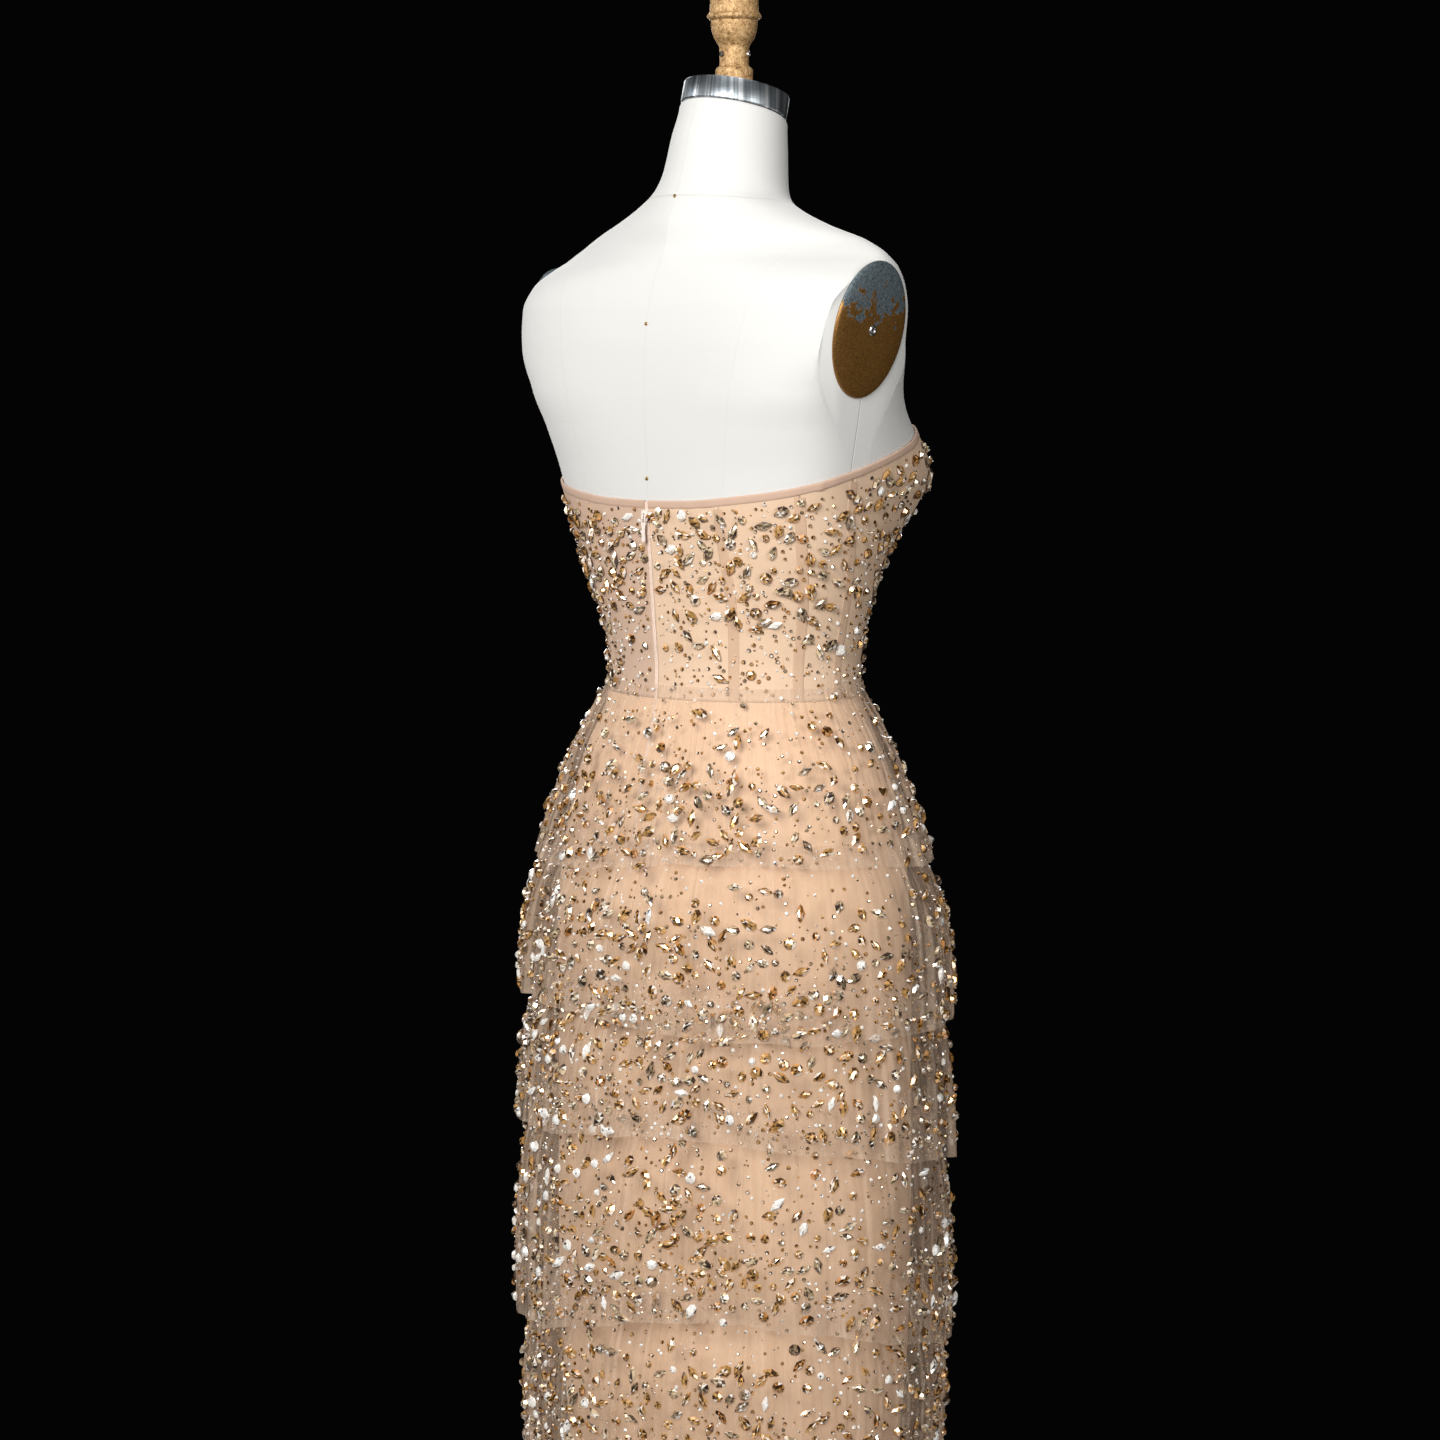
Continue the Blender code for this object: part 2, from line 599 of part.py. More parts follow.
def make_arm_plates(finish):
    """An oval, slightly domed plate on each armhole flat."""
    across, up = ARM_PLATE_HALF
    for side, name in ((1, "L"), (-1, "R")):
        bm = bmesh.new()
        rings = []
        for share, out in ARM_PLATE_DOME:
            turns = [2 * math.pi * i / ROUND_SIDES for i in range(ROUND_SIDES)]
            ring = [(out + SEAM_GAP, share * across * math.cos(a), share * up * math.sin(a)) for a in turns]
            rings.append([bm.verts.new(Vector(p) * MM) for p in ring])
        for low, high in zip(rings, rings[1:]):
            for i in range(ROUND_SIDES):
                j = (i + 1) % ROUND_SIDES
                bm.faces.new((low[i], low[j], high[j], high[i]))
        bm.faces.new(rings[0])
        bm.faces.new(rings[-1])
        bmesh.ops.transform(bm, matrix=arm_frame(side), verts=bm.verts)
        add_object(f"arm_plate_{name}", bm, finish)


def make_neck_and_finial(metal, wood, gilt):
    """The bright collar, the cap inside it, both square to the leaning neck, and the turned finial."""
    top = section_at(NECK_TOP)
    tilt = math.atan(top.slope)
    lean = Matrix.Rotation(tilt, 4, "X")
    seat = placed(Vector((0, top.centre, NECK_TOP)))
    frame = Matrix.Translation(seat) @ lean

    def ring_solid(name, inner_radius, outer_radius, low, high, finish):
        bm = bmesh.new()
        levels = [(outer_radius, low), (outer_radius, high), (inner_radius, high), (inner_radius, low)]
        rings = []
        for radius, level in levels:
            turns = [2 * math.pi * i / ROUND_SIDES for i in range(ROUND_SIDES)]
            ring = [(radius * math.cos(a), radius * math.sin(a), level) for a in turns]
            rings.append([bm.verts.new(Vector(p) * MM) for p in ring])
        for low_ring, high_ring in zip(rings, rings[1:] + rings[:1]):
            for i in range(ROUND_SIDES):
                j = (i + 1) % ROUND_SIDES
                bm.faces.new((low_ring[i], low_ring[j], high_ring[j], high_ring[i]))
        bmesh.ops.transform(bm, matrix=frame, verts=bm.verts)
        add_object(name, bm, finish)

    low, high = SEAM_GAP, SEAM_GAP + RING_HEIGHT
    ring_solid("neck_collar", RING_RADIUS - RING_WALL, RING_RADIUS, low, high, metal)
    cap = bmesh.new()
    bmesh.ops.create_cone(
        cap,
        cap_ends=True,
        segments=ROUND_SIDES,
        radius1=(RING_RADIUS - RING_WALL - SEAM_GAP) * MM,
        radius2=(RING_RADIUS - RING_WALL - SEAM_GAP) * MM,
        depth=(RING_HEIGHT - CAP_DROP) * MM,
    )
    bmesh.ops.translate(cap, vec=Vector((0, 0, low + (RING_HEIGHT - CAP_DROP) / 2)) * MM, verts=cap.verts)
    bmesh.ops.transform(cap, matrix=frame, verts=cap.verts)
    add_object("neck_cap", cap, wood)

    # The finial stands upright on the sloping cap, its foot cut to the cap's slope
    cap_top = (low + RING_HEIGHT - CAP_DROP) / math.cos(tilt)
    foot = NECK_TOP + cap_top + SEAM_GAP / math.cos(tilt) - top.slope * top.centre
    turned("finial", [(FINIAL_FOOT_RADIUS, foot)] + FINIAL, gilt, foot_slope=top.slope)


def make_stand(steel, iron):
    """What the gown hides: a flange under the form, a plain pole and a round base."""
    flange_low = FORM_BOTTOM - SEAM_GAP - FLANGE_HEIGHT
    hub_radius, hub_height = FLANGE_HUB
    hub_low = flange_low - hub_height
    flange = [(hub_radius, hub_low), (hub_radius, flange_low), (FLANGE_RADIUS, flange_low)]
    turned("stand_flange", flange + [(FLANGE_RADIUS, FORM_BOTTOM - SEAM_GAP)], iron)
    turned("stand_pole", [(POLE_RADIUS, HUB_TOP - WAIST + SEAM_GAP), (POLE_RADIUS, hub_low - SEAM_GAP)], steel)
    turned("stand_base", [(radius, height - WAIST) for radius, height in BASE], iron, sides=BASE_SIDES)


def main():
    clear_scene()
    mesh = material("bodice_mesh", (0.60, 0.43, 0.31), 0.6)
    binding = material("binding", (0.58, 0.41, 0.31), 0.55)
    nude = material("nude_lining", (0.78, 0.55, 0.39), 0.5)
    tulle = material("tulle", (0.74, 0.56, 0.43), 0.7)
    tape = material("zip_tape", (0.80, 0.66, 0.58), 0.5)
    pearl = material("zip_enamel", (0.82, 0.72, 0.66), 0.25, 0.3)
    linen = material("linen_cover", (0.86, 0.85, 0.82), 0.8)
    bronze = material("bronze_paint", (0.16, 0.09, 0.03), 0.4, 0.5)
    chrome = material("brushed_collar", (0.55, 0.58, 0.60), 0.2, 1.0)
    wood = material("cap_wood", (0.35, 0.24, 0.14), 0.6)
    gilt = material("gilt_iron", (0.58, 0.36, 0.14), 0.45, 0.6)
    steel = material("pole_steel", (0.55, 0.55, 0.55), 0.3, 1.0)
    iron = material("base_iron", (0.05, 0.05, 0.05), 0.5, 0.4)

    make_bodice(mesh, binding)
    make_zip(tape, pearl)
    make_underskirt(nude)
    make_tiers(tulle)
    make_form(linen)
    make_arm_plates(bronze)
    make_neck_and_finial(chrome, wood, gilt)
    make_stand(steel, iron)


main()
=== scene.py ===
import json
import math

import bmesh
import bpy
import numpy as np
from mathutils import Matrix, Vector, noise

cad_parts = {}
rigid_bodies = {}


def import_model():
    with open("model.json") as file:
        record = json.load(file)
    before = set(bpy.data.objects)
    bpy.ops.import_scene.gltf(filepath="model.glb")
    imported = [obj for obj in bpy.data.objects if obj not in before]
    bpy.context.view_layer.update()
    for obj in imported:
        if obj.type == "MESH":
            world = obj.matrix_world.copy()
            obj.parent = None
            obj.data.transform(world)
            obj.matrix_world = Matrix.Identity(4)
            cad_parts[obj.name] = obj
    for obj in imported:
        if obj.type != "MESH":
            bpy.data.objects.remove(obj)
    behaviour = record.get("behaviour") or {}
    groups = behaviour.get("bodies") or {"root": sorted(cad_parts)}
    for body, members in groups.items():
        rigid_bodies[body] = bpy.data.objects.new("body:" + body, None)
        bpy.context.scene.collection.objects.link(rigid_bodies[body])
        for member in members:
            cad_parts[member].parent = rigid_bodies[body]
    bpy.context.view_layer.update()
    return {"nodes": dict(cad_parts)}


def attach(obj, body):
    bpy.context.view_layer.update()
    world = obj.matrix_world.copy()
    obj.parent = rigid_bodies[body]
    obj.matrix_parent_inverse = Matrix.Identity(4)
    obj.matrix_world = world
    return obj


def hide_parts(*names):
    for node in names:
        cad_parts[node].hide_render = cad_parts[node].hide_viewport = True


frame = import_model()
print("gown: frame loaded")

# All sizes are millimetres from the waist seam until toWorld() turns them into metres from the floor.
waistHeight = 1050.0
layers = dict(fitGap=0.6, bodiceWall=1.5, underskirtWall=1.2, sewnGap=0.5)  # depths of cloth off the form
form = dict(bottom=-235.0, neckTop=479.0)

# The figure under the gown, a section for each height:
# height, half width, back, front, centre, back squareness, front squareness, slope
figure = np.array([
    (-1040, 280, 280, 280, 0, 2.0, 2.0, 0),
    (-970, 254, 252, 252, 0, 2.0, 2.0, 0),
    (-890, 219, 212, 212, 0, 2.0, 2.0, 0),
    (-800, 181, 171, 171, 0, 2.0, 2.0, 0),
    (-720, 155, 141, 140, 0, 2.0, 2.0, 0),
    (-640, 148, 131, 130, 0, 2.0, 2.0, 0),
    (-560, 156, 134, 132, 0, 2.0, 2.0, 0),
    (-450, 162, 133, 129, 0, 2.0, 2.0, 0),
    (-340, 164, 130, 124, 0, 2.0, 2.0, 0),
    (-235, 166, 127, 119, 0, 2.05, 2.05, 0),
    (-200, 166, 126, 118, 0, 2.05, 2.05, 0),
    (-150, 163, 121, 114, 0, 2.05, 2.05, 0),
    (-100, 156, 112, 109, 0, 2.05, 2.05, 0),
    (-50, 140, 101, 99, 0, 2.05, 2.05, 0),
    (-25, 127, 94, 94, 0, 2.0, 2.0, 0),
    (0, 116, 89, 89, 0, 2.0, 2.0, 0),
    (25, 116, 88, 88, 0, 2.0, 2.0, 0),
    (50, 120, 90, 89, 0, 2.0, 2.0, 0),
    (75, 127, 92, 91, 2, 2.1, 2.0, 0),
    (100, 135, 94, 94, 6, 2.2, 2.0, 0),
    (125, 143, 96, 98, 12, 2.3, 2.0, 0),
    (158, 148, 99, 103, 18, 2.55, 2.15, 0),
    (188, 155, 101, 106, 22, 2.7, 2.3, 0),
    (220, 162, 103, 103, 25, 3.2, 2.35, 0),
    (250, 172, 104, 93, 26, 3.9, 2.3, 0),
    (285, 191, 103, 77, 27, 3.5, 2.1, 0),
    (317, 193, 99, 67, 26, 3.5, 2.3, 0),
    (336, 189, 94, 60, 22, 3.1, 2.4, 0),
    (350, 184, 89, 55, 17, 2.2, 2.2, 0),
    (360, 178, 84, 52, 13, 1.65, 1.7, 0),
    (370, 162, 80, 50, 14, 1.45, 1.5, 0.01),
    (384, 123, 78, 46, 21, 1.5, 1.5, 0.03),
    (398, 85, 71, 42, 20, 1.7, 1.7, 0.07),
    (410, 59, 66, 41, 15, 2.0, 2.0, 0.10),
    (424, 52, 60.5, 42, 11, 2.0, 2.0, 0.13),
    (450, 48, 53.5, 43, 6, 2.0, 2.0, 0.19),
    (479, 44.5, 44.5, 43.5, 1, 2.0, 2.0, 0.236),
])
bust = dict(angle=-54.0, spread=17.0, height=178.0, above=36.0, below=44.0, rise=35.0)
topEdgeRows = np.array([  # angle, and the height of the bodice's edge there
    (-90, 206), (-70, 214), (-50, 222), (-25, 206), (0, 188), (30, 170), (60, 163), (90, 162),
])
tiers = [  # lift and droop slope the hem round the figure
    dict(top=-0.3, hem=-133, lift=7, droop=-3),
    dict(top=-112, hem=-261, lift=-3, droop=6),
    dict(top=-228, hem=-361, lift=14, droop=12),
    dict(top=-322, hem=-516, lift=22, droop=7),
    dict(top=-482, hem=-686, lift=9, droop=4),
    dict(top=-652, hem=-858, lift=5, droop=-3),
    dict(top=-826, hem=-1033, lift=0, droop=0),
]


# Smoothly between a table's rows, for an array of values of its first column.
def readTable(rows, at):
    rows = np.asarray(rows, float)
    keys = rows[:, 0]
    steps = np.diff(keys)
    slopes = np.diff(rows, axis=0) / steps[:, None]
    before, after = slopes[:-1], slopes[1:]
    same = before * after > 0
    inner = np.where(same, 2 * before * after / np.where(same, before + after, 1), 0)
    ends = np.zeros((1, rows.shape[1]))
    gradients = np.vstack([ends, inner, ends])
    at = np.clip(at, keys[0], keys[-1])
    i = np.clip(np.searchsorted(keys, at, side="right") - 1, 0, len(keys) - 2)
    span = steps[i][..., None]
    t = ((at - keys[i]) / steps[i])[..., None]
    a, b = rows[i], rows[i + 1]
    ga, gb = gradients[i] * span, gradients[i + 1] * span
    between = a * (1 + 2 * t) * (1 - t) ** 2 + b * t * t * (3 - 2 * t)
    return between + ga * t * (1 - t) ** 2 - gb * t * t * (1 - t)


def topEdge(angle):
    mirrored = np.degrees(np.arcsin(np.sin(np.radians(angle))))
    return readTable(topEdgeRows, mirrored)[..., 1]


def figurePoint(angle, height):
    angle, height = np.broadcast_arrays(np.asarray(angle, float), np.asarray(height, float))
    s = readTable(figure, height)
    across, along = np.cos(np.radians(angle)), np.sin(np.radians(angle))
    behind = along >= 0
    depth = np.where(behind, s[..., 2] - s[..., 4], s[..., 3] + s[..., 4])
    square = np.where(behind, s[..., 5], s[..., 6])
    radius = ((np.abs(across) / s[..., 1]) ** square + (np.abs(along) / depth) ** square) ** (-1 / square)
    spread = np.where(height > bust["height"], bust["above"], bust["below"])
    up = np.exp(-0.5 * ((height - bust["height"]) / spread) ** 2)
    for middle in (bust["angle"], -180 - bust["angle"]):
        turn = (angle - middle + 180) % 360 - 180
        radius = radius + bust["rise"] * up * np.exp(-0.5 * (turn / bust["spread"]) ** 2)
    y = radius * along
    return np.stack([radius * across, s[..., 4] + y, height + s[..., 7] * y], axis=-1)


def unit(vectors):
    return vectors / np.maximum(np.linalg.norm(vectors, axis=-1, keepdims=True), 1e-9)


def figureNormal(angle, height):
    around = figurePoint(angle + 0.5, height) - figurePoint(angle - 0.5, height)
    up = figurePoint(angle, height + 1) - figurePoint(angle, height - 1)
    return unit(np.cross(around, up))


def offFigure(angle, height, distance):
    return figurePoint(angle, height) + figureNormal(angle, height) * np.asarray(distance)[..., None]


def toWorld(points):
    return (np.asarray(points) + (0, 0, waistHeight)) * 0.001


def finishMesh(name, verts, faces, material, closedUp=False, smooth=True):
    mesh = bpy.data.meshes.new(name)
    mesh.from_pydata([tuple(v) for v in verts], [], faces)
    mesh.update()
    if closedUp:  # the faces of a closed body all turned outward
        bm = bmesh.new()
        bm.from_mesh(mesh)
        bmesh.ops.recalc_face_normals(bm, faces=bm.faces)
        bm.to_mesh(mesh)
        bm.free()
    if smooth:
        mesh.shade_smooth()
    mesh.materials.append(material)
    piece = bpy.data.objects.new(name, mesh)
    bpy.context.scene.collection.objects.link(piece)
    return piece


def gridFaces(rowCount, columnCount, closed):
    r = np.arange(rowCount - 1)[:, None] * columnCount
    c = np.arange(columnCount if closed else columnCount - 1)[None, :]
    after = (c + 1) % columnCount
    above = r + columnCount
    return np.stack([r + c, r + after, above + after, above + c], axis=-1).reshape(-1, 4).tolist()


# A sheet through a grid of points, bottom row first. Its UVs are millimetres over the cloth.
def gridPiece(name, points, material, closed=False, caps=False, extras=None):
    rowCount, columnCount = points.shape[:2]
    faces = gridFaces(rowCount, columnCount, closed)
    if caps:
        faces.append(list(range(columnCount))[::-1])
        faces.append(list(range((rowCount - 1) * columnCount, rowCount * columnCount)))
    piece = finishMesh(name, toWorld(points).reshape(-1, 3), faces, material)
    across = np.linalg.norm(np.diff(points, axis=1, append=points[:, :1]), axis=-1)
    middle = np.cumsum(across[rowCount // 2])
    u = np.concatenate([[0], middle])
    v = points[:, :, 2]
    layer = piece.data.uv_layers.new(name="clothMm")
    loopVerts = np.zeros(len(piece.data.loops), int)
    piece.data.loops.foreach_get("vertex_index", loopVerts)
    column = loopVerts % columnCount
    place = np.arange(len(loopVerts))
    firstOfFace = (place // 4) * 4
    wraps = (column == 0) & (column[np.minimum(firstOfFace, len(column) - 1)] == columnCount - 1) & closed
    uv = np.stack([np.where(wraps, u[-1], u[column]), v.reshape(-1)[loopVerts]], axis=-1) * 0.01
    layer.data.foreach_set("uv", uv.astype(np.float32).ravel())
    for key, values in (extras or {}).items():
        made = piece.data.attributes.new(key, "FLOAT", "POINT")
        made.data.foreach_set("value", np.asarray(values, np.float32).ravel())
    return piece


def thicken(piece, thickness):
    wall = piece.modifiers.new("wall", "SOLIDIFY")
    wall.thickness = thickness * 0.001
    wall.offset = -1
    return piece


# A solid turned about Z from (radius, height) points. Ripple roughens it like a casting.
def turnedPiece(name, profile, material, sides=96, place=None, ripple=0.0, sharp=35):
    turns = np.linspace(0, 2 * math.pi, sides, endpoint=False)
    rings = np.array([[(r * math.cos(a), r * math.sin(a), h) for a in turns] for r, h in profile])
    if ripple:
        for row in rings:
            for k in range(sides):
                p = Vector(row[k])
                bump = noise.noise(p * 0.55) + 0.6 * noise.noise(p * 1.3 + Vector((7, 3, 1)))
                row[k] += np.array((p.x, p.y, 0)) / max(p.xy.length, 1) * bump * ripple
    faces = gridFaces(len(profile), sides, True)
    faces.append(list(range(sides))[::-1])
    faces.append(list(range((len(profile) - 1) * sides, len(profile) * sides)))
    verts = rings.reshape(-1, 3) * 0.001
    if place is not None:
        verts = np.array([place @ Vector(v) for v in verts])
    piece = finishMesh(name, verts, faces, material, closedUp=True)
    piece.data.set_sharp_from_angle(angle=math.radians(sharp))
    return piece


# More points along a profile by Catmull and Rom's curve. A point given twice stays a corner.
def roundedProfile(points, perStep=6):
    p = [points[0]] + list(points) + [points[-1]]
    result = []
    for a, b, c, d in zip(p, p[1:], p[2:], p[3:]):
        if b == c:
            continue
        for k in range(perStep):
            t = k / perStep
            pair = []
            for i in (0, 1):
                spin = 2 * b[i] + (c[i] - a[i]) * t + (2 * a[i] - 5 * b[i] + 4 * c[i] - d[i]) * t * t
                pair.append(0.5 * (spin + (3 * b[i] - a[i] - 3 * c[i] + d[i]) * t**3))
            result.append(tuple(pair))
    return result + [points[-1]]


def newMaterial(name, colour, roughness, metallic=0.0, **sockets):
    material = bpy.data.materials.new(name)
    material.use_nodes = True
    shader = material.node_tree.nodes["Principled BSDF"]
    shader.inputs["Base Color"].default_value = (*colour, 1)
    shader.inputs["Roughness"].default_value = roughness
    shader.inputs["Metallic"].default_value = metallic
    for key, value in sockets.items():
        shader.inputs[key.replace("_", " ")].default_value = value
    return material, material.node_tree, shader


def node(tree, kind, **values):
    made = tree.nodes.new("ShaderNode" + kind)
    for key, value in values.items():
        setattr(made, key, value)
    return made


def objectSpace(tree):
    return node(tree, "TexCoord").outputs["Object"]


def axes(tree, vector):
    made = node(tree, "SeparateXYZ")
    tree.links.new(vector, made.inputs[0])
    return made.outputs


def paintWith(tree, shader, colour):
    tree.links.new(colour, shader.inputs["Base Color"])


def calc(tree, operation, *inputs):
    made = node(tree, "Math", operation=operation)
    for k, value in enumerate(inputs):
        if isinstance(value, (int, float)):
            made.inputs[k].default_value = value
        else:
            tree.links.new(value, made.inputs[k])
    return made.outputs[0]


def mapped(tree, vector, scale):
    made = node(tree, "Mapping")
    made.inputs["Scale"].default_value = scale
    tree.links.new(vector, made.inputs["Vector"])
    return made.outputs[0]


def noiseOf(tree, vector, scale, detail=3.0, rough=0.5):
    made = node(tree, "TexNoise")
    made.inputs["Scale"].default_value = scale
    made.inputs["Detail"].default_value = detail
    made.inputs["Roughness"].default_value = rough
    tree.links.new(vector, made.inputs["Vector"])
    return made.outputs["Fac"]


def ramp(tree, factor, stops):
    made = node(tree, "ValToRGB")
    line = made.color_ramp.elements
    while len(line) < len(stops):
        line.new(0.5)
    for element, (at, colour) in zip(line, stops):
        element.position = at
        element.color = (*colour, 1) if len(colour) == 3 else colour
    tree.links.new(factor, made.inputs[0])
    return made.outputs[0]


def mixColours(tree, factor, first, second, blend="MIX"):
    made = node(tree, "Mix", data_type="RGBA", blend_type=blend)
    for socket, value in ((made.inputs[0], factor), (made.inputs[6], first), (made.inputs[7], second)):
        if isinstance(value, (int, float)):
            socket.default_value = value
        elif isinstance(value, tuple):
            socket.default_value = (*value, 1)
        else:
            tree.links.new(value, socket)
    return made.outputs[2]


def bump(tree, shader, height, strength, distance):
    made = node(tree, "Bump")
    made.inputs["Strength"].default_value = strength
    made.inputs["Distance"].default_value = distance
    tree.links.new(height, made.inputs["Height"])
    tree.links.new(made.outputs[0], shader.inputs["Normal"])


def clothCoordinates(tree):
    return node(tree, "UVMap", uv_map="clothMm").outputs[0]


# Over and under threads, threads a centimetre, from the cloth's own coordinates.
def weave(tree, coordinates, threads):
    u, v = axes(tree, coordinates)[:2]
    across = calc(tree, "SINE", calc(tree, "MULTIPLY", u, 2 * math.pi * threads * 10))
    along = calc(tree, "SINE", calc(tree, "MULTIPLY", v, 2 * math.pi * threads * 10))
    return calc(tree, "MULTIPLY", across, along)


linenLook = dict(white=(0.635, 0.635, 0.622), shade=(0.60, 0.596, 0.578), seam=(0.42, 0.39, 0.35),
                 seamWidth=0.0009, seamDark=0.42)


# White linen with its seams drawn in. Places are metres, heights from the waist.
def linenCover():
    look = linenLook
    material, tree, shader = newMaterial("linenCover", look["white"], 0.82, Sheen_Weight=0.25)
    where = objectSpace(tree)
    x, y, z = axes(tree, where)
    side = calc(tree, "ABSOLUTE", x)
    height = calc(tree, "SUBTRACT", z, waistHeight * 0.001)
    isBack = calc(tree, "GREATER_THAN", y, 0.03)
    isFront = calc(tree, "SUBTRACT", 1.0, isBack)
    belowArm = calc(tree, "LESS_THAN", height, 0.262)
    overArm = calc(tree, "GREATER_THAN", height, 0.34)

    def line(value, place, width=look["seamWidth"]):  # 1 on the seam, 0 a width away
        distance = calc(tree, "ABSOLUTE", calc(tree, "SUBTRACT", value, place))
        made = calc(tree, "SUBTRACT", 1.0, calc(tree, "DIVIDE", distance, width))
        made.node.use_clamp = True
        return made

    def within(seam, *tests):  # the seam only where each test holds
        for test in tests:
            seam = calc(tree, "MULTIPLY", seam, test)
        return seam

    rise = calc(tree, "SUBTRACT", height, 0.165)
    backLine = calc(tree, "MULTIPLY_ADD", rise, 0.20, 0.078)
    frontLine = calc(tree, "MULTIPLY_ADD", rise, 0.12, 0.088)
    neckPlane = calc(tree, "MULTIPLY_ADD", calc(tree, "SUBTRACT", y, 0.014), 0.10, 0.4035)
    drawn = [  # each seam, and how deep it is
        (line(x, 0.0, 0.0007), 0.35),
        (within(line(side, backLine), isBack), 0.25),
        (within(line(side, frontLine), isFront), 0.4),
        (within(line(y, 0.024), belowArm, calc(tree, "GREATER_THAN", side, 0.1)), 0.9),
        (within(line(y, 0.012), overArm, calc(tree, "GREATER_THAN", side, 0.062)), 0.6),
        (line(height, neckPlane, 0.0010), 0.8),
    ]
    seams = 0.0
    for seam, depth in drawn:
        seams = calc(tree, "MAXIMUM", seams, calc(tree, "MULTIPLY", seam, depth))
    weft = noiseOf(tree, mapped(tree, where, (1, 1, 9)), 150, 4)
    warp = noiseOf(tree, mapped(tree, where, (9, 9, 1)), 150, 4)
    threads = calc(tree, "MULTIPLY", calc(tree, "ADD", weft, warp), 0.22)
    clouds = calc(tree, "MULTIPLY", noiseOf(tree, where, 14, 3), 0.35)
    colour = mixColours(tree, clouds, look["white"], look["shade"])
    colour = mixColours(tree, calc(tree, "MULTIPLY", seams, look["seamDark"]), colour, look["seam"])
    paintWith(tree, shader, colour)
    bump(tree, shader, calc(tree, "SUBTRACT", threads, seams), 0.5, 0.0007)
    return material


def nudeCloth(name, light, dark, roughness, sheen):
    material, tree, shader = newMaterial(name, light, roughness, Sheen_Weight=sheen)
    where = clothCoordinates(tree)
    soft = noiseOf(tree, mapped(tree, where, (0.9, 0.25, 1)), 1.0, 3)
    colour = mixColours(tree, ramp(tree, soft, [(0.35, (0, 0, 0)), (0.7, (1, 1, 1))]), light, dark)
    paintWith(tree, shader, colour)
    bump(tree, shader, weave(tree, where, 14), 0.12, 0.0002)
    return material


tulleLook = dict(colour=(0.655, 0.50, 0.38), shade=(0.47, 0.335, 0.235), roughness=0.8, sheen=0.1, threads=5,
                 uneven=0.65, shadowThin=0.55, cover=0.275, header=0.13, hem=0.07, most=0.8)


# Sheer net: its cover comes from the veil attribute, where gathers overlap, and from fine upright streaks.
def tulleCloth():
    look = tulleLook
    material, tree, shader = newMaterial("tulle", look["colour"], look["roughness"],
                                         Sheen_Weight=look["sheen"])
    where = clothCoordinates(tree)
    streaks = noiseOf(tree, mapped(tree, where, (26, 0.45, 1)), 1.0, 3, 0.6)
    broad = noiseOf(tree, mapped(tree, where, (7, 0.3, 1)), 1.0, 2)
    tone = calc(tree, "ADD", calc(tree, "MULTIPLY", streaks, 0.65), calc(tree, "MULTIPLY", broad, 0.35))
    soft = ramp(tree, tone, [(0.34, (0, 0, 0)), (0.66, (1, 1, 1))])
    paintWith(tree, shader, mixColours(tree, soft, look["shade"], look["colour"]))
    cover = node(tree, "Attribute", attribute_name="veil").outputs["Fac"]
    lace = calc(tree, "MULTIPLY_ADD", weave(tree, where, look["threads"]), 0.05, 1.0)
    uneven = calc(tree, "MULTIPLY_ADD", calc(tree, "SUBTRACT", tone, 0.5), look["uneven"], 1.0)
    alpha = calc(tree, "MULTIPLY", calc(tree, "MULTIPLY", cover, uneven), lace)
    alpha.node.use_clamp = True
    shadowRay = node(tree, "LightPath").outputs["Is Shadow Ray"]
    thin = calc(tree, "MULTIPLY", alpha, calc(tree, "MULTIPLY_ADD", shadowRay, -look["shadowThin"], 1.0))
    tree.links.new(thin, shader.inputs["Alpha"])
    bump(tree, shader, streaks, 0.35, 0.0004)
    return material


foiledGlass = dict(colour=(0.8, 0.6, 0.3), roughness=0.07, coat=1.0, coatRoughness=0.02, specular=0.9,
                   foil=0.46, paleFoil=0.04)


# Foiled stones: some facets take the glass tone, some a painted dark reflection and some a painted highlight,
# as cut glass over a mirror shows.
def crystalGlass():
    look = foiledGlass
    material, tree, shader = newMaterial("crystalGlass", look["colour"], look["roughness"], look["foil"],
                                         Coat_Weight=look["coat"], Coat_Roughness=look["coatRoughness"],
                                         Specular_IOR_Level=look["specular"])
    facetToneAndPaintedLight = node(tree, "Attribute", attribute_name="facetToneAndPaintedLight").outputs["Color"]
    inside = noiseOf(tree, objectSpace(tree), 900, 1)
    spark = ramp(tree, inside, [(0.30, (0.72, 0.72, 0.72)), (0.60, (1.0, 1.0, 1.0))])
    # base colour: each facet's tone with its painted reflections and highlights, times a fine random speckle
    paintWith(tree, shader, mixColours(tree, 1.0, facetToneAndPaintedLight, spark, "MULTIPLY"))
    parts = node(tree, "SeparateColor")
    tree.links.new(facetToneAndPaintedLight, parts.inputs[0])
    foil = ramp(tree, parts.outputs[2], [(0.45, (look["foil"],) * 3), (0.75, (look["paleFoil"],) * 3)])
    tree.links.new(foil, shader.inputs["Metallic"])  # the pale facets scatter light, the rest mirror it
    return material


def brushedMetal(name, colour, roughness):
    material, tree, shader = newMaterial(name, colour, roughness, 1.0)
    where = objectSpace(tree)
    lines = noiseOf(tree, mapped(tree, where, (1, 1, 60)), 60, 4)
    rough = calc(tree, "MULTIPLY_ADD", lines, 0.22, roughness - 0.08)
    tree.links.new(rough, shader.inputs["Roughness"])
    tone = mixColours(tree, lines, tuple(0.86 * c for c in colour), tuple(min(1, 1.1 * c) for c in colour))
    paintWith(tree, shader, tone)
    bump(tree, shader, lines, 0.06, 0.0003)
    return material
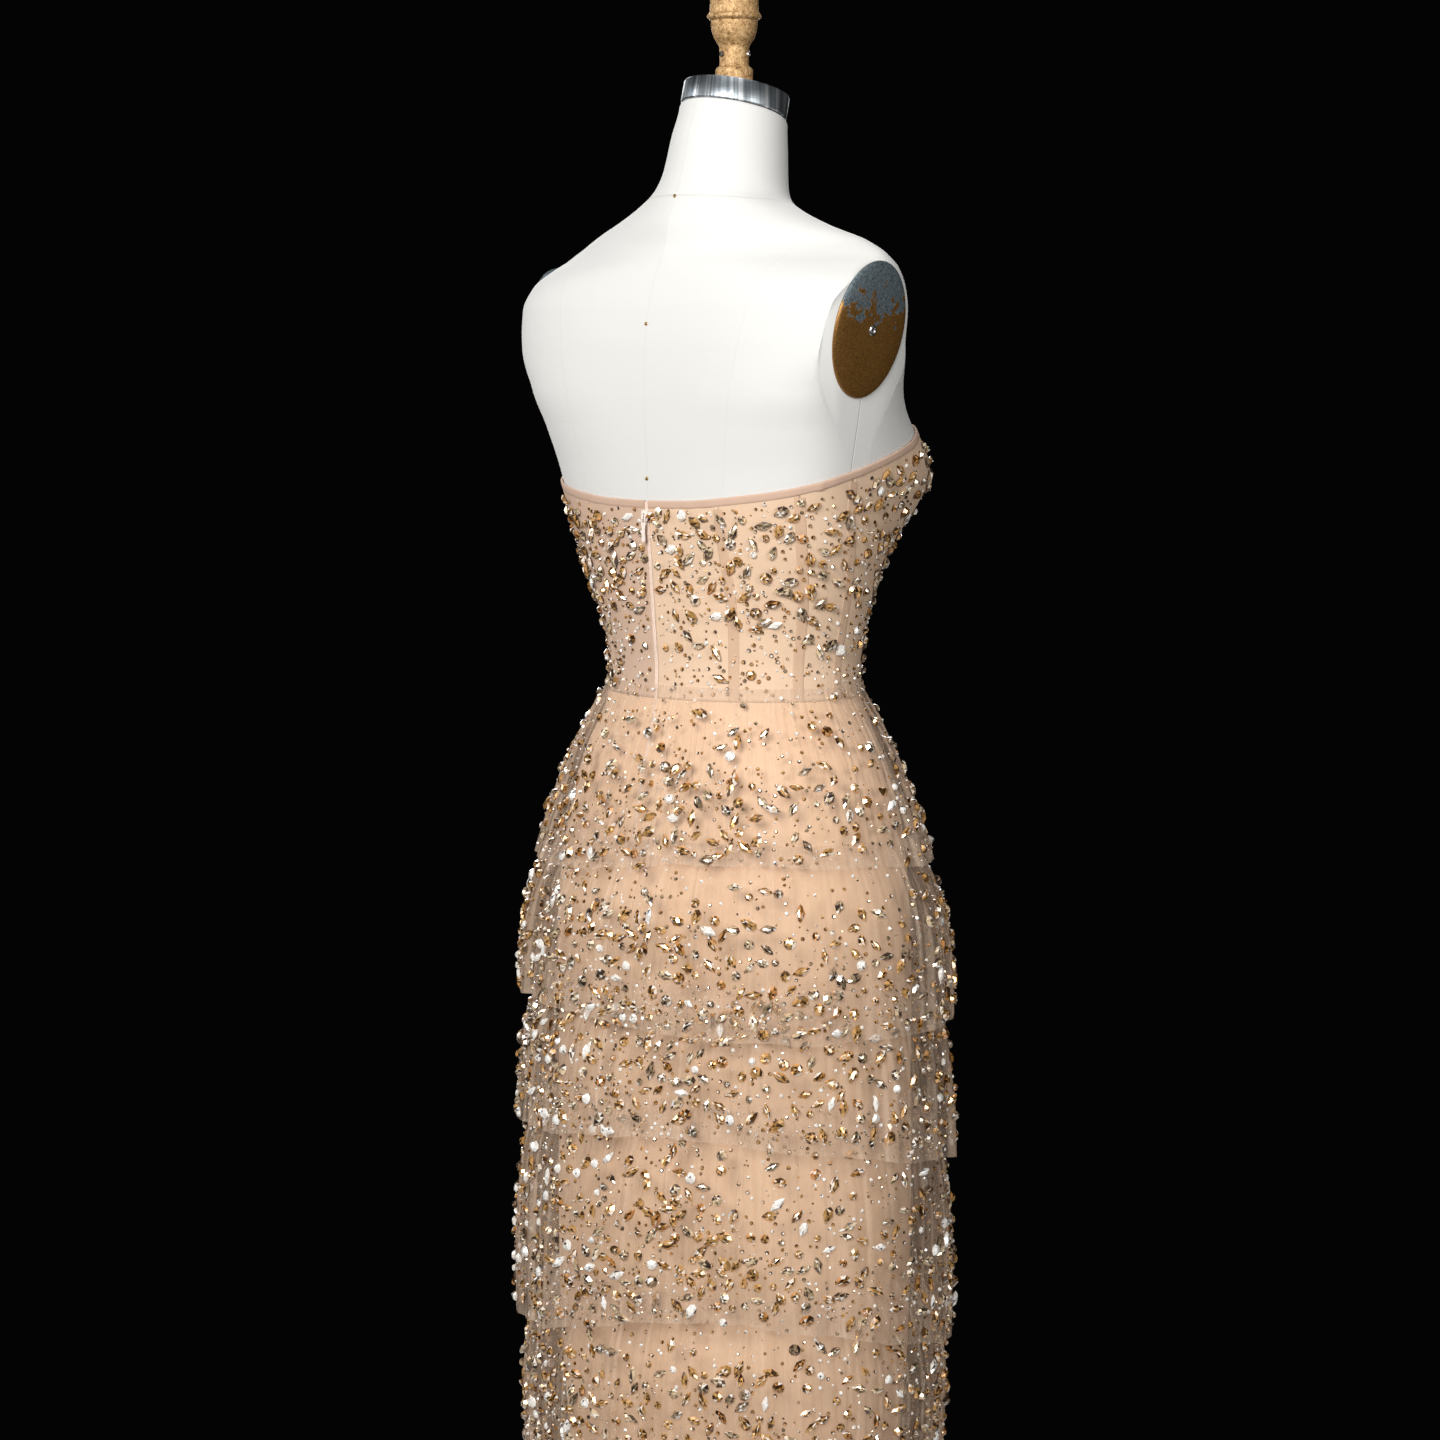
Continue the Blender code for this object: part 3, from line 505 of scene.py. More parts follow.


# the bands and tones paint the collar's reflections: upright bands round it from near black to near white
collarPaintedReflectionLook = dict(colour=(0.42, 0.46, 0.49), roughness=0.34, brushed=0.5, bands=7.5, lines=90, tones=[
    (0.32, (0.12, 0.145, 0.165)), (0.47, (0.31, 0.35, 0.385)), (0.56, (0.58, 0.63, 0.67)),
    (0.63, (0.97, 0.98, 1.0)),
])


# A polished steel band with painted reflections: upright bands of painted dark and white reflection round it,
# under fine brushing.
def paintedReflectionCollar():
    look = collarPaintedReflectionLook
    material, tree, shader = newMaterial("paintedReflectionCollar", look["colour"], look["roughness"], 1.0,
                                         Anisotropic=look["brushed"])
    where = objectSpace(tree)
    x, y = axes(tree, where)[:2]
    around = node(tree, "CombineXYZ")
    tree.links.new(calc(tree, "ARCTAN2", y, x), around.inputs[0])
    bands = noiseOf(tree, around.outputs[0], look["bands"], 3, 0.62)
    fine = noiseOf(tree, mapped(tree, where, (1, 1, 30)), look["lines"], 3)
    both = calc(tree, "MULTIPLY_ADD", fine, 0.12, calc(tree, "MULTIPLY", bands, 0.9))
    # painted reflections: the ramp turns the bands into dark and white stripes in the steel's colour
    paintWith(tree, shader, ramp(tree, both, look["tones"]))
    bump(tree, shader, fine, 0.08, 0.0003)
    return material


giltLook = dict(colour=(0.60, 0.36, 0.12), metallic=0.3, roughness=0.34, grain=620, pits=230, relief=0.75,
                tones=[(0.35, (0.11, 0.05, 0.018)), (0.44, (0.36, 0.205, 0.08)), (0.56, (0.55, 0.35, 0.16)),
                       (0.68, (0.80, 0.59, 0.35))])


def giltIron():
    look = giltLook
    material, tree, shader = newMaterial("giltIron", look["colour"], 0.5, look["metallic"])
    where = objectSpace(tree)
    grain = noiseOf(tree, where, look["grain"], 4, 0.6)
    pits = noiseOf(tree, where, look["pits"], 3, 0.6)
    both = calc(tree, "MULTIPLY_ADD", grain, 0.55, calc(tree, "MULTIPLY", pits, 0.45))
    paintWith(tree, shader, ramp(tree, both, look["tones"]))
    tree.links.new(calc(tree, "MULTIPLY_ADD", grain, 0.4, look["roughness"]), shader.inputs["Roughness"])
    bump(tree, shader, both, look["relief"], 0.0010)
    return material


bronzeLook = dict(
    metallic=0.65, roughness=0.33, bareAbove=1.362, slope=26.0, ragged=3.4, flakes=90, grain=700,
    metal=[(0.35, (0.055, 0.075, 0.085)), (0.65, (0.19, 0.235, 0.26))],
    brown=[(0.30, (0.15, 0.068, 0.018)), (0.70, (0.36, 0.18, 0.045))],
)


# Brown bronze paint, flaked off to grey-blue metal over the plate's upper part.
def bronzePaint():
    look = bronzeLook
    material, tree, shader = newMaterial("bronzePaint", look["brown"][0][1], 0.38, look["metallic"])
    where = objectSpace(tree)
    height = axes(tree, where)[2]
    flakes = noiseOf(tree, where, look["flakes"], 6, 0.68)
    grain = noiseOf(tree, where, look["grain"], 3, 0.6)
    rise = calc(tree, "MULTIPLY", calc(tree, "SUBTRACT", height, look["bareAbove"]), look["slope"])
    ragged = calc(tree, "MULTIPLY", calc(tree, "SUBTRACT", flakes, 0.5), look["ragged"])
    mask = ramp(tree, calc(tree, "ADD", rise, ragged), [(0.10, (0, 0, 0)), (0.16, (1, 1, 1))])
    metal, brown = ramp(tree, grain, look["metal"]), ramp(tree, grain, look["brown"])
    paintWith(tree, shader, mixColours(tree, mask, brown, metal))
    tree.links.new(calc(tree, "MULTIPLY_ADD", mask, 0.25, look["roughness"]), shader.inputs["Roughness"])
    bump(tree, shader, calc(tree, "SUBTRACT", calc(tree, "MULTIPLY", grain, 0.25), mask), 0.35, 0.0005)
    return material


def plainPaint(name, colour, roughness, metallic, grainSize):
    material, tree, shader = newMaterial(name, colour, roughness, metallic)
    grain = noiseOf(tree, objectSpace(tree), grainSize, 3)
    dark, light = tuple(0.8 * c for c in colour), tuple(min(1, 1.15 * c) for c in colour)
    paintWith(tree, shader, mixColours(tree, grain, dark, light))
    bump(tree, shader, grain, 0.1, 0.0004)
    return material


nudeTones = dict(  # light and dark tone, roughness, sheen
    nudeLining=((0.755, 0.51, 0.33), (0.70, 0.455, 0.285), 0.6, 0.1),
    bodiceMesh=((0.70, 0.505, 0.355), (0.63, 0.44, 0.305), 0.65, 0.05),
    bodiceMeshDoubled=((0.575, 0.40, 0.295), (0.525, 0.355, 0.258), 0.65, 0.05),
    casingTape=((0.585, 0.395, 0.265), (0.53, 0.35, 0.235), 0.65, 0.2),
    binding=((0.55, 0.375, 0.28), (0.49, 0.33, 0.245), 0.75, 0.1),
    zipWelt=((0.74, 0.585, 0.49), (0.68, 0.52, 0.43), 0.5, 0.2),
)
plainTones = dict(  # colour, roughness, metallic, grain size
    capWood=((0.30, 0.19, 0.11), 0.55, 0.0, 60),
    baseIron=((0.035, 0.035, 0.037), 0.45, 0.3, 300),
    pinBrass=((0.60, 0.40, 0.16), 0.3, 1.0, 300),
    darkSteel=((0.10, 0.085, 0.07), 0.35, 0.9, 300),
    zipEnamel=((0.86, 0.76, 0.70), 0.2, 0.1, 300),
    paleFloor=((0.52, 0.51, 0.495), 0.7, 0.0, 20),
)
cloth = {name: nudeCloth(name, *tones) for name, tones in nudeTones.items()}
paint = {name: plainPaint(name, *tones) for name, tones in plainTones.items()}
linen = linenCover()
tulle = tulleCloth()
crystal = crystalGlass()
collarSteelPaintedReflections = paintedReflectionCollar()
poleSteel = brushedMetal("poleSteel", (0.52, 0.52, 0.53), 0.3)
gilt = giltIron()
bronze = bronzePaint()
print("gown: materials made")


def dress(piece, replaced=(), body="root"):
    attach(piece, body)
    if replaced:
        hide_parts(*replaced)
    return piece


armhole = dict(height=300.0, centre=27.0, out=176.0, lean=10.5, turn=5.0, cut=(0.16, 0.2, 0.33))
linenMesh = dict(sides=200, rim=[(2.4, 0.5), (1.1, 1.4), (0.3, 2.6), (0.0, 4.0)])  # rim: drop and inward


def armFrame(side):
    lean = Matrix.Rotation(math.radians(armhole["lean"]), 4, "Y")
    turn = Matrix.Rotation(math.radians(armhole["turn"]), 4, "X")
    centre = Vector(toWorld((armhole["out"], armhole["centre"], armhole["height"])))
    return Matrix.Scale(side, 4, Vector((1, 0, 0))) @ Matrix.Translation(centre) @ lean @ turn


def makeTorso():
    angles = np.linspace(0, 360, linenMesh["sides"], endpoint=False)
    low, high = np.linspace(form["bottom"], 138, 16), np.linspace(142, form["neckTop"] - 4, 120)
    heights = np.concatenate([low, high])
    grid = figurePoint(angles[None, :], heights[:, None])
    for drop, inward in linenMesh["rim"]:  # the cover rounds over the neck's rim
        row = offFigure(angles, np.full(len(angles), form["neckTop"] - 3.0), np.full(len(angles), -inward))
        row[:, 2] += 3.0 - drop
        grid = np.concatenate([grid, row[None]])
    torso = gridPiece("torsoCover", grid, linen, closed=True, caps=True)
    for side in (1, -1):
        cutterMesh = bmesh.new()
        bmesh.ops.create_cube(cutterMesh, size=1.0)
        bmesh.ops.scale(cutterMesh, vec=Vector(armhole["cut"]), verts=cutterMesh.verts)
        bmesh.ops.translate(cutterMesh, vec=Vector((armhole["cut"][0] / 2, 0, 0)), verts=cutterMesh.verts)
        bmesh.ops.transform(cutterMesh, matrix=armFrame(side), verts=cutterMesh.verts)
        bmesh.ops.recalc_face_normals(cutterMesh, faces=cutterMesh.faces)
        mesh = bpy.data.meshes.new("armCut")
        cutterMesh.to_mesh(mesh)
        cutterMesh.free()
        cutter = bpy.data.objects.new("armCut", mesh)
        bpy.context.scene.collection.objects.link(cutter)
        cut = torso.modifiers.new("armhole", "BOOLEAN")
        cut.operation = "DIFFERENCE"
        cut.object = cutter
        cut.solver = "EXACT"
    bpy.context.view_layer.update()
    made = bpy.data.meshes.new_from_object(torso.evaluated_get(bpy.context.evaluated_depsgraph_get()))
    torso.modifiers.clear()
    torso.data = made
    for old in [o for o in bpy.data.objects if o.name.startswith("armCut")]:
        bpy.data.objects.remove(old)
    made.set_sharp_from_angle(angle=math.radians(50))
    dress(torso, ["form_torso"])


armPlate = dict(
    across=40.0, up=55.0, sides=96,
    profile=[  # share of the oval, and how far it stands out
        (1.0, 0.3), (1.0, 1.3), (0.985, 1.9), (0.95, 2.4), (0.86, 3.1), (0.7, 3.8), (0.5, 4.2), (0.3, 4.4),
        (0.1, 4.5),
    ],
    screw=[(4.2, 0.0), (4.2, 0.5), (3.6, 1.0), (2.6, 1.3), (2.2, 1.0), (1.9, 0.2), (0.4, 0.1)],
)


def makeArmPlates():
    sides, rings = armPlate["sides"], armPlate["profile"]
    turns = np.linspace(0, 2 * math.pi, sides, endpoint=False)
    for side, name in ((1, "L"), (-1, "R")):
        place = armFrame(side)
        verts = []
        for share, out in rings:
            for a in turns:
                point = (out, share * armPlate["across"] * math.cos(a), share * armPlate["up"] * math.sin(a))
                verts.append(place @ (Vector(point) * 0.001))
        last = (len(rings) - 1) * sides
        faces = gridFaces(len(rings), sides, True)
        faces += [list(range(sides))[::-1], list(range(last, last + sides))]
        plate = finishMesh("armPlate" + name, verts, faces, bronze, closedUp=True)
        dress(plate, ["arm_plate_" + name])
        screwPlace = place @ Matrix.Translation((0.0044, 0, 0)) @ Matrix.Rotation(math.radians(90), 4, "Y")
        dress(turnedPiece("armScrew" + name, armPlate["screw"], poleSteel, 32, screwPlace))


collar = dict(
    sides=160,
    profile=[(40.3, 0.4), (43.2, 0.4), (44.0, 1.1), (44.0, 17.4), (43.3, 18.5), (41.2, 18.8), (40.3, 18.1)],
)
finial = dict(
    footRadius=15.3, capTop=17.8, clear=0.4, roughness=0.28, screwHeight=525.5, screwOut=11.5,
    outline=[  # radius, and height from the waist
        (15.4, 512.4), (15.4, 512.4), (14.4, 514.4), (12.5, 515.6), (12.1, 517.5), (12.1, 528), (12.4, 531.2),
        (13.6, 534.2), (16.4, 538.4), (18.3, 544), (19.0, 549.5), (19.1, 552.9), (19.1, 552.9), (21.2, 554.2),
        (22.4, 555.9), (21.9, 557.8), (20.6, 559.2), (20.2, 561.4), (20.2, 561.4), (19.9, 565.3),
        (19.5, 573.3), (18.4, 580.2), (15.6, 587.2), (11, 592.3), (5, 594.9), (0.6, 595.3),
    ],
    screw=[(2.4, 0), (2.4, 1.3), (2.0, 2.0), (1.3, 2.1), (1.1, 1.5), (0.3, 1.4)],
)


def makeNeckTop():
    neckTop = form["neckTop"]
    top = readTable(figure, np.array(neckTop))
    tilt = math.atan(top[7])
    place = Matrix.Translation(Vector(toWorld((0, top[4], neckTop)))) @ Matrix.Rotation(tilt, 4, "X")
    sides, profile = collar["sides"], collar["profile"]
    turns = np.linspace(0, 2 * math.pi, sides, endpoint=False)
    verts = []
    for r, h in profile:
        verts += [place @ (Vector((r * math.cos(a), r * math.sin(a), h)) * 0.001) for a in turns]
    faces = gridFaces(len(profile), sides, True)
    last = (len(profile) - 1) * sides
    faces += [[last + k, last + (k + 1) % sides, (k + 1) % sides, k] for k in range(sides)]
    ring = finishMesh("neckCollar", verts, faces, collarSteelPaintedReflections, closedUp=True)
    ring.data.set_sharp_from_angle(angle=math.radians(40))
    dress(ring, ["neck_collar"])

    # the finial stands upright on the cap, its foot cut to the cap's slope
    foot = neckTop + (finial["capTop"] + finial["clear"]) / math.cos(tilt) - top[7] * top[4]
    outline = roundedProfile([(finial["footRadius"], foot)] + finial["outline"], 5)
    turned = turnedPiece("finialTurned", outline, gilt, 128, ripple=finial["roughness"], sharp=60)
    for v in turned.data.vertices:
        share = min(1.0, max(0.0, (foot + 8 - v.co.z * 1000) / 8))
        v.co.z += top[7] * v.co.y * share + waistHeight * 0.001
    dress(turned, ["finial"])
    middle = Matrix.Translation(Vector(toWorld((0, 0, finial["screwHeight"]))))
    away = Matrix.Translation((finial["screwOut"] * 0.001, 0, 0))
    outward = Matrix.Rotation(math.radians(90), 4, "Y")
    for turn, name, finish in ((79, "A", paint["darkSteel"]), (207, "B", poleSteel)):
        seat = middle @ (Matrix.Rotation(math.radians(turn), 4, "Z") @ away) @ outward
        dress(turnedPiece("finialScrew" + name, finial["screw"], finish, 24, seat))


pins = dict(heights=(404.0, 305.0, 180.0), profile=[(1.5, 0), (1.7, 0.5), (1.3, 1.2), (0.3, 1.6)])


# Small brass pins left in the cover down the centre back.
def makePins():
    angle = np.array(90.0)
    for k, height in enumerate(pins["heights"]):
        spot = Vector(toWorld(offFigure(angle, np.array(height), np.array(-0.3))))
        out = Vector(figureNormal(angle, np.array(height)))
        place = Matrix.Translation(spot) @ out.to_track_quat("Z", "Y").to_matrix().to_4x4()
        dress(turnedPiece(f"formPin{k}", pins["profile"], paint["pinBrass"], 20, place))


makeTorso()
makeArmPlates()
makeNeckTop()
makePins()
print("gown: form made")


bodice = dict(
    seams=dict(side=0.0, underarm=18.0, back=45.0, princess=-63.0),
    doubled=("bodice_centre_back_L", "bodice_side_back_L", "bodice_underarm_L"),
    columnStep=1.0, rows=62, foot=0.15, seamHalf=0.05, zipHalf=1.35, thickness=1.3,
)
panels = [  # node, from angle, to angle
    ("bodice_side_front_L", -63, 0), ("bodice_underarm_L", 0, 18), ("bodice_side_back_L", 18, 45),
    ("bodice_centre_back_L", 45, 90), ("bodice_centre_back_R", 90, 135), ("bodice_side_back_R", 135, 162),
    ("bodice_underarm_R", 162, 180), ("bodice_side_front_R", 180, 243), ("bodice_centre_front", 243, 297),
]
bodiceOut = layers["fitGap"] + layers["bodiceWall"]


# Millimetres round the figure for each degree.
def arcRate(angle, height):
    return np.linalg.norm(figurePoint(angle + 0.5, height) - figurePoint(angle - 0.5, height), axis=-1)


def makeBodice():
    for name, start, end in panels:
        first = start + (bodice["zipHalf"] if start == 90 else bodice["seamHalf"])
        last = end - (bodice["zipHalf"] if end == 90 else bodice["seamHalf"])
        angles = np.linspace(first, last, int((end - start) / bodice["columnStep"]) + 1)
        shares = np.linspace(0, 1, bodice["rows"])
        heights = bodice["foot"] + shares[:, None] * (topEdge(angles)[None, :] - bodice["foot"])
        grid = offFigure(np.broadcast_to(angles, heights.shape), heights, np.full(heights.shape, bodiceOut))
        mesh = cloth["bodiceMeshDoubled"] if name in bodice["doubled"] else cloth["bodiceMesh"]
        piece = thicken(gridPiece(name.replace("bodice_", "panel_"), grid, mesh), bodice["thickness"])
        dress(piece, [name])


casing = dict(
    width=9.0, flatWidth=0.012, areaWidth=0.0096, rows=56, underEdge=8.0,
    across=[-1, -0.97, -0.9, -0.6, 0, 0.6, 0.9, 0.97, 1],
    rise=[0.02, 0.25, 0.38, 0.42, 0.36, 0.42, 0.38, 0.25, 0.02],
)


# Boning casings: narrow soft strips over the seams, from the waist to the binding.
def makeCasings():
    across = np.array(casing["across"]) * casing["width"] / 2
    rise = bodiceOut + 0.04 + np.array(casing["rise"])[None, :]
    for name, seam in bodice["seams"].items():
        for angle, hand in ((seam, "L"), (180 - seam, "R")):
            top = float(topEdge(np.array(angle))) - casing["underEdge"]
            heights = np.linspace(1.0, top, casing["rows"])
            turn = angle + across[None, :] / arcRate(np.full(len(heights), float(angle)), heights)[:, None]
            grid = offFigure(turn, np.broadcast_to(heights[:, None], turn.shape), rise)
            piece = gridPiece(f"casingTape_{name}_{hand}", grid, cloth["casingTape"])
            dress(piece, [f"casing_{name}_{hand}"])


binding = dict(
    start=91.45, end=448.55, columns=420, tucks=(168.0, 372.0), tuckRise=1.1, flat=(0.80, 0.012), area=0.0076,
    section=[  # out from the bodice, and down from its edge
        (0.05, 6.0), (0.4, 5.7), (0.45, 4.0), (0.45, 1.2), (0.3, 0.0), (-0.2, -0.5), (-0.9, -0.5),
        (-1.4, 0.0),
    ],
)


# The folded strip over the top edge, with a small tuck in it by each side back seam.
def makeBinding():
    angles = np.linspace(binding["start"], binding["end"], binding["columns"])
    edge = topEdge(angles)
    ripple = 0.18 * np.sin(np.radians(angles * 31)) * np.sin(np.radians(angles * 3.7))
    for tuck in binding["tucks"]:
        ripple += binding["tuckRise"] * np.exp(-(((angles - tuck) / 1.3) ** 2))
    rows = []
    for out, drop in binding["section"]:
        rows.append(offFigure(angles, edge - drop, np.full(len(angles), bodiceOut + out) + ripple))
    piece = gridPiece("topBinding", np.array(rows), cloth["binding"])
    dress(piece, ["top_binding"])


zipWelt = dict(
    bottom=-142, rows=120, overSkirt=1.3, flat=(0.012, 0.306), area=0.0015,
    across=[-1.7, -1.55, -1.2, -0.8, -0.4, -0.22, 0.22, 0.4, 0.8, 1.2, 1.55, 1.7],
    rise=[-0.3, 0.15, 0.5, 0.62, 0.35, -0.6, -0.6, 0.35, 0.62, 0.5, 0.15, -0.3],
)


# The two welts that meet over the hidden coil, from the top edge down into the underskirt.
def makeZip():
    top = float(topEdge(np.array(90.0)))
    heights = np.linspace(zipWelt["bottom"], top - 0.5, zipWelt["rows"])
    across, rise = np.array(zipWelt["across"]), np.array(zipWelt["rise"])
    skirt = layers["fitGap"] + zipWelt["overSkirt"]
    out = np.interp(heights, [zipWelt["bottom"], -4, 4, top], [skirt, skirt, bodiceOut, bodiceOut])
    turn = 90 + across[None, :] / arcRate(np.full(len(heights), 90.0), heights)[:, None]
    grid = offFigure(turn, np.broadcast_to(heights[:, None], turn.shape), out[:, None] + rise[None, :])
    welts = gridPiece("zipWelts", grid, cloth["zipWelt"])
    dress(welts, ["zip_coil"])


makeBodice()
makeCasings()
makeBinding()
makeZip()
print("gown: bodice made")


skirtOut = layers["fitGap"] + layers["underskirtWall"]
underskirt = dict(sides=300, hem=-1033, top=1.5, flat=(1.40, 1.033), area=1.10)  # top: inside the bodice


def makeUnderskirt():
    angles = np.linspace(0, 360, underskirt["sides"], endpoint=False)
    low, high = np.linspace(underskirt["hem"], -640, 26), np.linspace(-625, underskirt["top"], 44)
    turn, rise = np.meshgrid(angles, np.concatenate([low, high]))
    soft = 0.5 * np.sin(np.radians(turn * 9 + rise * 0.2))
    soft += 0.4 * np.sin(np.radians(turn * 17 - rise * 0.33))
    soft *= np.clip((-rise - 160) / 200, 0, 1)
    grid = offFigure(turn, rise, skirtOut - 0.1 + soft * 0.8)
    piece = gridPiece("underskirtColumn", grid, cloth["nudeLining"], closed=True)
    dress(piece, ["underskirt_front", "underskirt_back_L", "underskirt_back_R"])


# How far a tier stands off the underskirt as it drops, and the first one at the waist.
hang = dict(out=33.0, reach=38.0, header=12, columns=900, fullness=1.25, seam=15,
            firstDrops=[-12, -5, 2, 12, 50, 95, 146], firstOffsets=[1.5, 2.2, 5.0, 8.8, 10.5, 13.0, 21.5])
gathers = dict(  # each soft fold's width and lean in degrees, depth in millimetres, and where it starts
    width=(1.6, 4.2), depth=(1.5, 5.4), start=(0.0, 0.35), lean=(-1.6, 1.6), apart=(1.3, 2.6),
    sign=[1.0, 1.0, 1.0, -0.55], fine=((97, 0.30), (131, 0.34), (163, 0.30), (211, 0.22)),
)


def tierHeight(tier, angle, share):
    lift = tier["lift"] * np.cos(np.radians(2 * (angle - 135)))
    droop = tier["droop"] * np.cos(np.radians(angle - 225))
    return tier["top"] + share * (tier["hem"] - tier["top"] + lift - droop)


# How far the tulle stands off its mean surface: soft folds of uneven width, depth and length, and gathers.
def foldField(rng, angles, drop, length):
    result = np.zeros(np.broadcast(angles, drop).shape)
    place = rng.uniform(0, 360)
    end = place + 360
    while place < end:
        width = rng.uniform(*gathers["width"])
        depth = rng.choice(gathers["sign"]) * rng.uniform(*gathers["depth"])
        start = rng.uniform(*gathers["start"]) * length
        lean = rng.uniform(*gathers["lean"])
        middle = place + lean * drop / length
        away = (angles - middle + 180) % 360 - 180
        grown = np.clip((drop - start) / (0.45 * length), 0, 1)
        result += depth * grown**1.2 * np.exp(-((away / width) ** 2))
        place += width * rng.uniform(*gathers["apart"])
    fine = np.zeros_like(result)
    for waves, size in gathers["fine"]:
        phase = rng.uniform(0, 360)
        wander = angles * rng.integers(3, 7) + rng.uniform(0, 360)
        phase = phase + 25 * np.sin(np.radians(wander))
        fine += 0.85 * size * np.sin(np.radians(angles * waves + phase + drop * rng.uniform(-0.5, 0.5)))
    fine *= np.interp(drop / length, [0, 0.06, 0.3, 1.0], [0.35, 1.15, 1.0, 0.55])
    return result, fine


tierGrids = []


def makeTiers():
    look = tulleLook
    angles = np.linspace(0, 360, hang["columns"], endpoint=False)
    for k, tier in enumerate(tiers):
        rng = np.random.default_rng(40 + k)
        nominal = tier["top"] - tier["hem"]
        shares = np.concatenate([[0, 0.012, 0.03], np.linspace(0.06, 0.96, 15), [0.985, 1.0]])[::-1]
        turn, share = np.meshgrid(angles, shares)
        height = tierHeight(tier, turn, share)
        if k == 0:  # its gathered header stands a little above the waist seam
            height = height + hang["header"] * np.clip(1 - share / 0.07, 0, 1)
            drop = tier["top"] - height
            offset = np.interp(drop, hang["firstDrops"], hang["firstOffsets"])
        else:
            drop = tier["top"] - height
            offset = hang["out"] * (1 - np.exp(-drop / hang["reach"]))
        folds, fine = foldField(rng, turn, drop, nominal)
        folds = folds - 0.6 * folds.mean(axis=1, keepdims=True)
        distance = np.maximum(offset + folds + fine, 0.15 + 0.2 * drop / nominal)
        hemWave = 0.9 * np.sin(np.radians(turn * 13 + 40 * k)) * share**3
        out = figureNormal(turn, height)
        out[..., 2] = 0
        out = unit(out)
        grid = offFigure(turn, height + hemWave, np.full(turn.shape, skirtOut + layers["sewnGap"]))
        grid = grid + out * distance[..., None]
        step = np.linalg.norm(np.roll(grid, -1, axis=1) - grid, axis=-1)
        slope = (np.roll(distance, -1, axis=1) - distance) / np.maximum(step, 0.1)
        slope = 0.5 * (slope + np.roll(slope, 1, axis=1))
        cover = 1 - (1 - look["cover"]) ** np.sqrt(1 + (2.8 * slope) ** 2)
        cover = cover + look["header"] * np.clip((9 - drop) / 18, 0, 1)
        cover = np.where(share > 0.98, np.minimum(cover + look["hem"], look["most"]), cover)
        piece = gridPiece(f"tulleTier{k + 1}", grid, tulle, closed=True, extras={"veil": cover})
        dress(piece, [f"tier_{k + 1}"])
        tierGrids.append((grid, shares, tier))


makeUnderskirt()
makeTiers()
print("gown: skirt made")


crystals = dict(
    shapes=dict(  # length, width and height in millimetres, and corners
        marquise=(15.0, 7.6, 3.6, 8), pear=(14.0, 9.2, 4.0, 8), chaton=(9.8, 9.8, 4.2, 8),
        small=(7.0, 7.0, 3.3, 8),
    ),
    mix=[("marquise", 0.42), ("pear", 0.18), ("chaton", 0.22), ("small", 0.18)],
    beads=[(3.5, 1.3, 6), (2.3, 0.8, 4)],  # rhinestones and seed stones: size, height, corners
    apart=(9.0, 3.6, 2.2),
    tones=[  # share and colour: gold, pale gold, smoke, amber and milky
        (0.48, (0.90, 0.50, 0.165)), (0.21, (0.93, 0.70, 0.43)), (0.12, (0.50, 0.37, 0.22)),
        (0.13, (0.68, 0.33, 0.08)), (0.06, (0.97, 0.92, 0.85)),
    ],
    density=(0.49, 0.50, 0.50),  # large, rhinestones and seeds in a square centimetre at their thickest
    fineBand=([0, 0.03, 0.12, 0.4, 0.5, 0.9, 0.97, 1.0], [0, 0.5, 0.55, 0.6, 1.0, 1.0, 0.4, 0]),
    bands=[  # for each tier: shares of its drop, and how thick the large stones stand there
        ([0, 0.03, 0.10, 0.36, 0.44, 0.52, 0.93, 0.97, 1.0], [0, 0.06, 0.12, 0.18, 0.7, 1.0, 1.0, 0.2, 0]),
        ([0, 0.16, 0.24, 0.30, 0.37, 0.45, 0.93, 0.97, 1.0], [0, 0.0, 0.12, 0.25, 0.7, 1.0, 1.0, 0.3, 0]),
        ([0, 0.14, 0.20, 0.28, 0.80, 0.88, 0.93, 0.97, 1.0], [0, 0.4, 0.9, 1.0, 1.0, 0.8, 0.3, 0.1, 0]),
        ([0, 0.15, 0.20, 0.36, 0.43, 0.50, 0.93, 0.97, 1.0], [0, 0.1, 0.28, 0.36, 0.7, 1.0, 1.0, 0.2, 0]),
        ([0, 0.15, 0.20, 0.26, 0.34, 0.42, 0.92, 0.96, 1.0], [0, 0.1, 0.35, 0.6, 0.9, 1.0, 1.0, 0.2, 0]),
        ([0, 0.16, 0.22, 0.34, 0.42, 0.50, 0.92, 0.96, 1.0], [0, 0.1, 0.20, 0.30, 0.7, 1.0, 0.9, 0.2, 0]),
        ([0, 0.18, 0.24, 0.38, 0.46, 0.54, 0.90, 0.95, 1.0], [0, 0.1, 0.20, 0.28, 0.7, 1.0, 0.9, 0.2, 0]),
    ],
    bodiceCounts=(440, 800, 700), zipClear=3.6,
    bodiceLarge=([0, 4, 36, 46, 60, 93, 95.5, 100], [0.02, 0.06, 0.10, 0.5, 1, 1, 0, 0]),
    bodiceFine=([0, 3, 93, 96, 100], [0.3, 0.8, 1, 0, 0]),
)


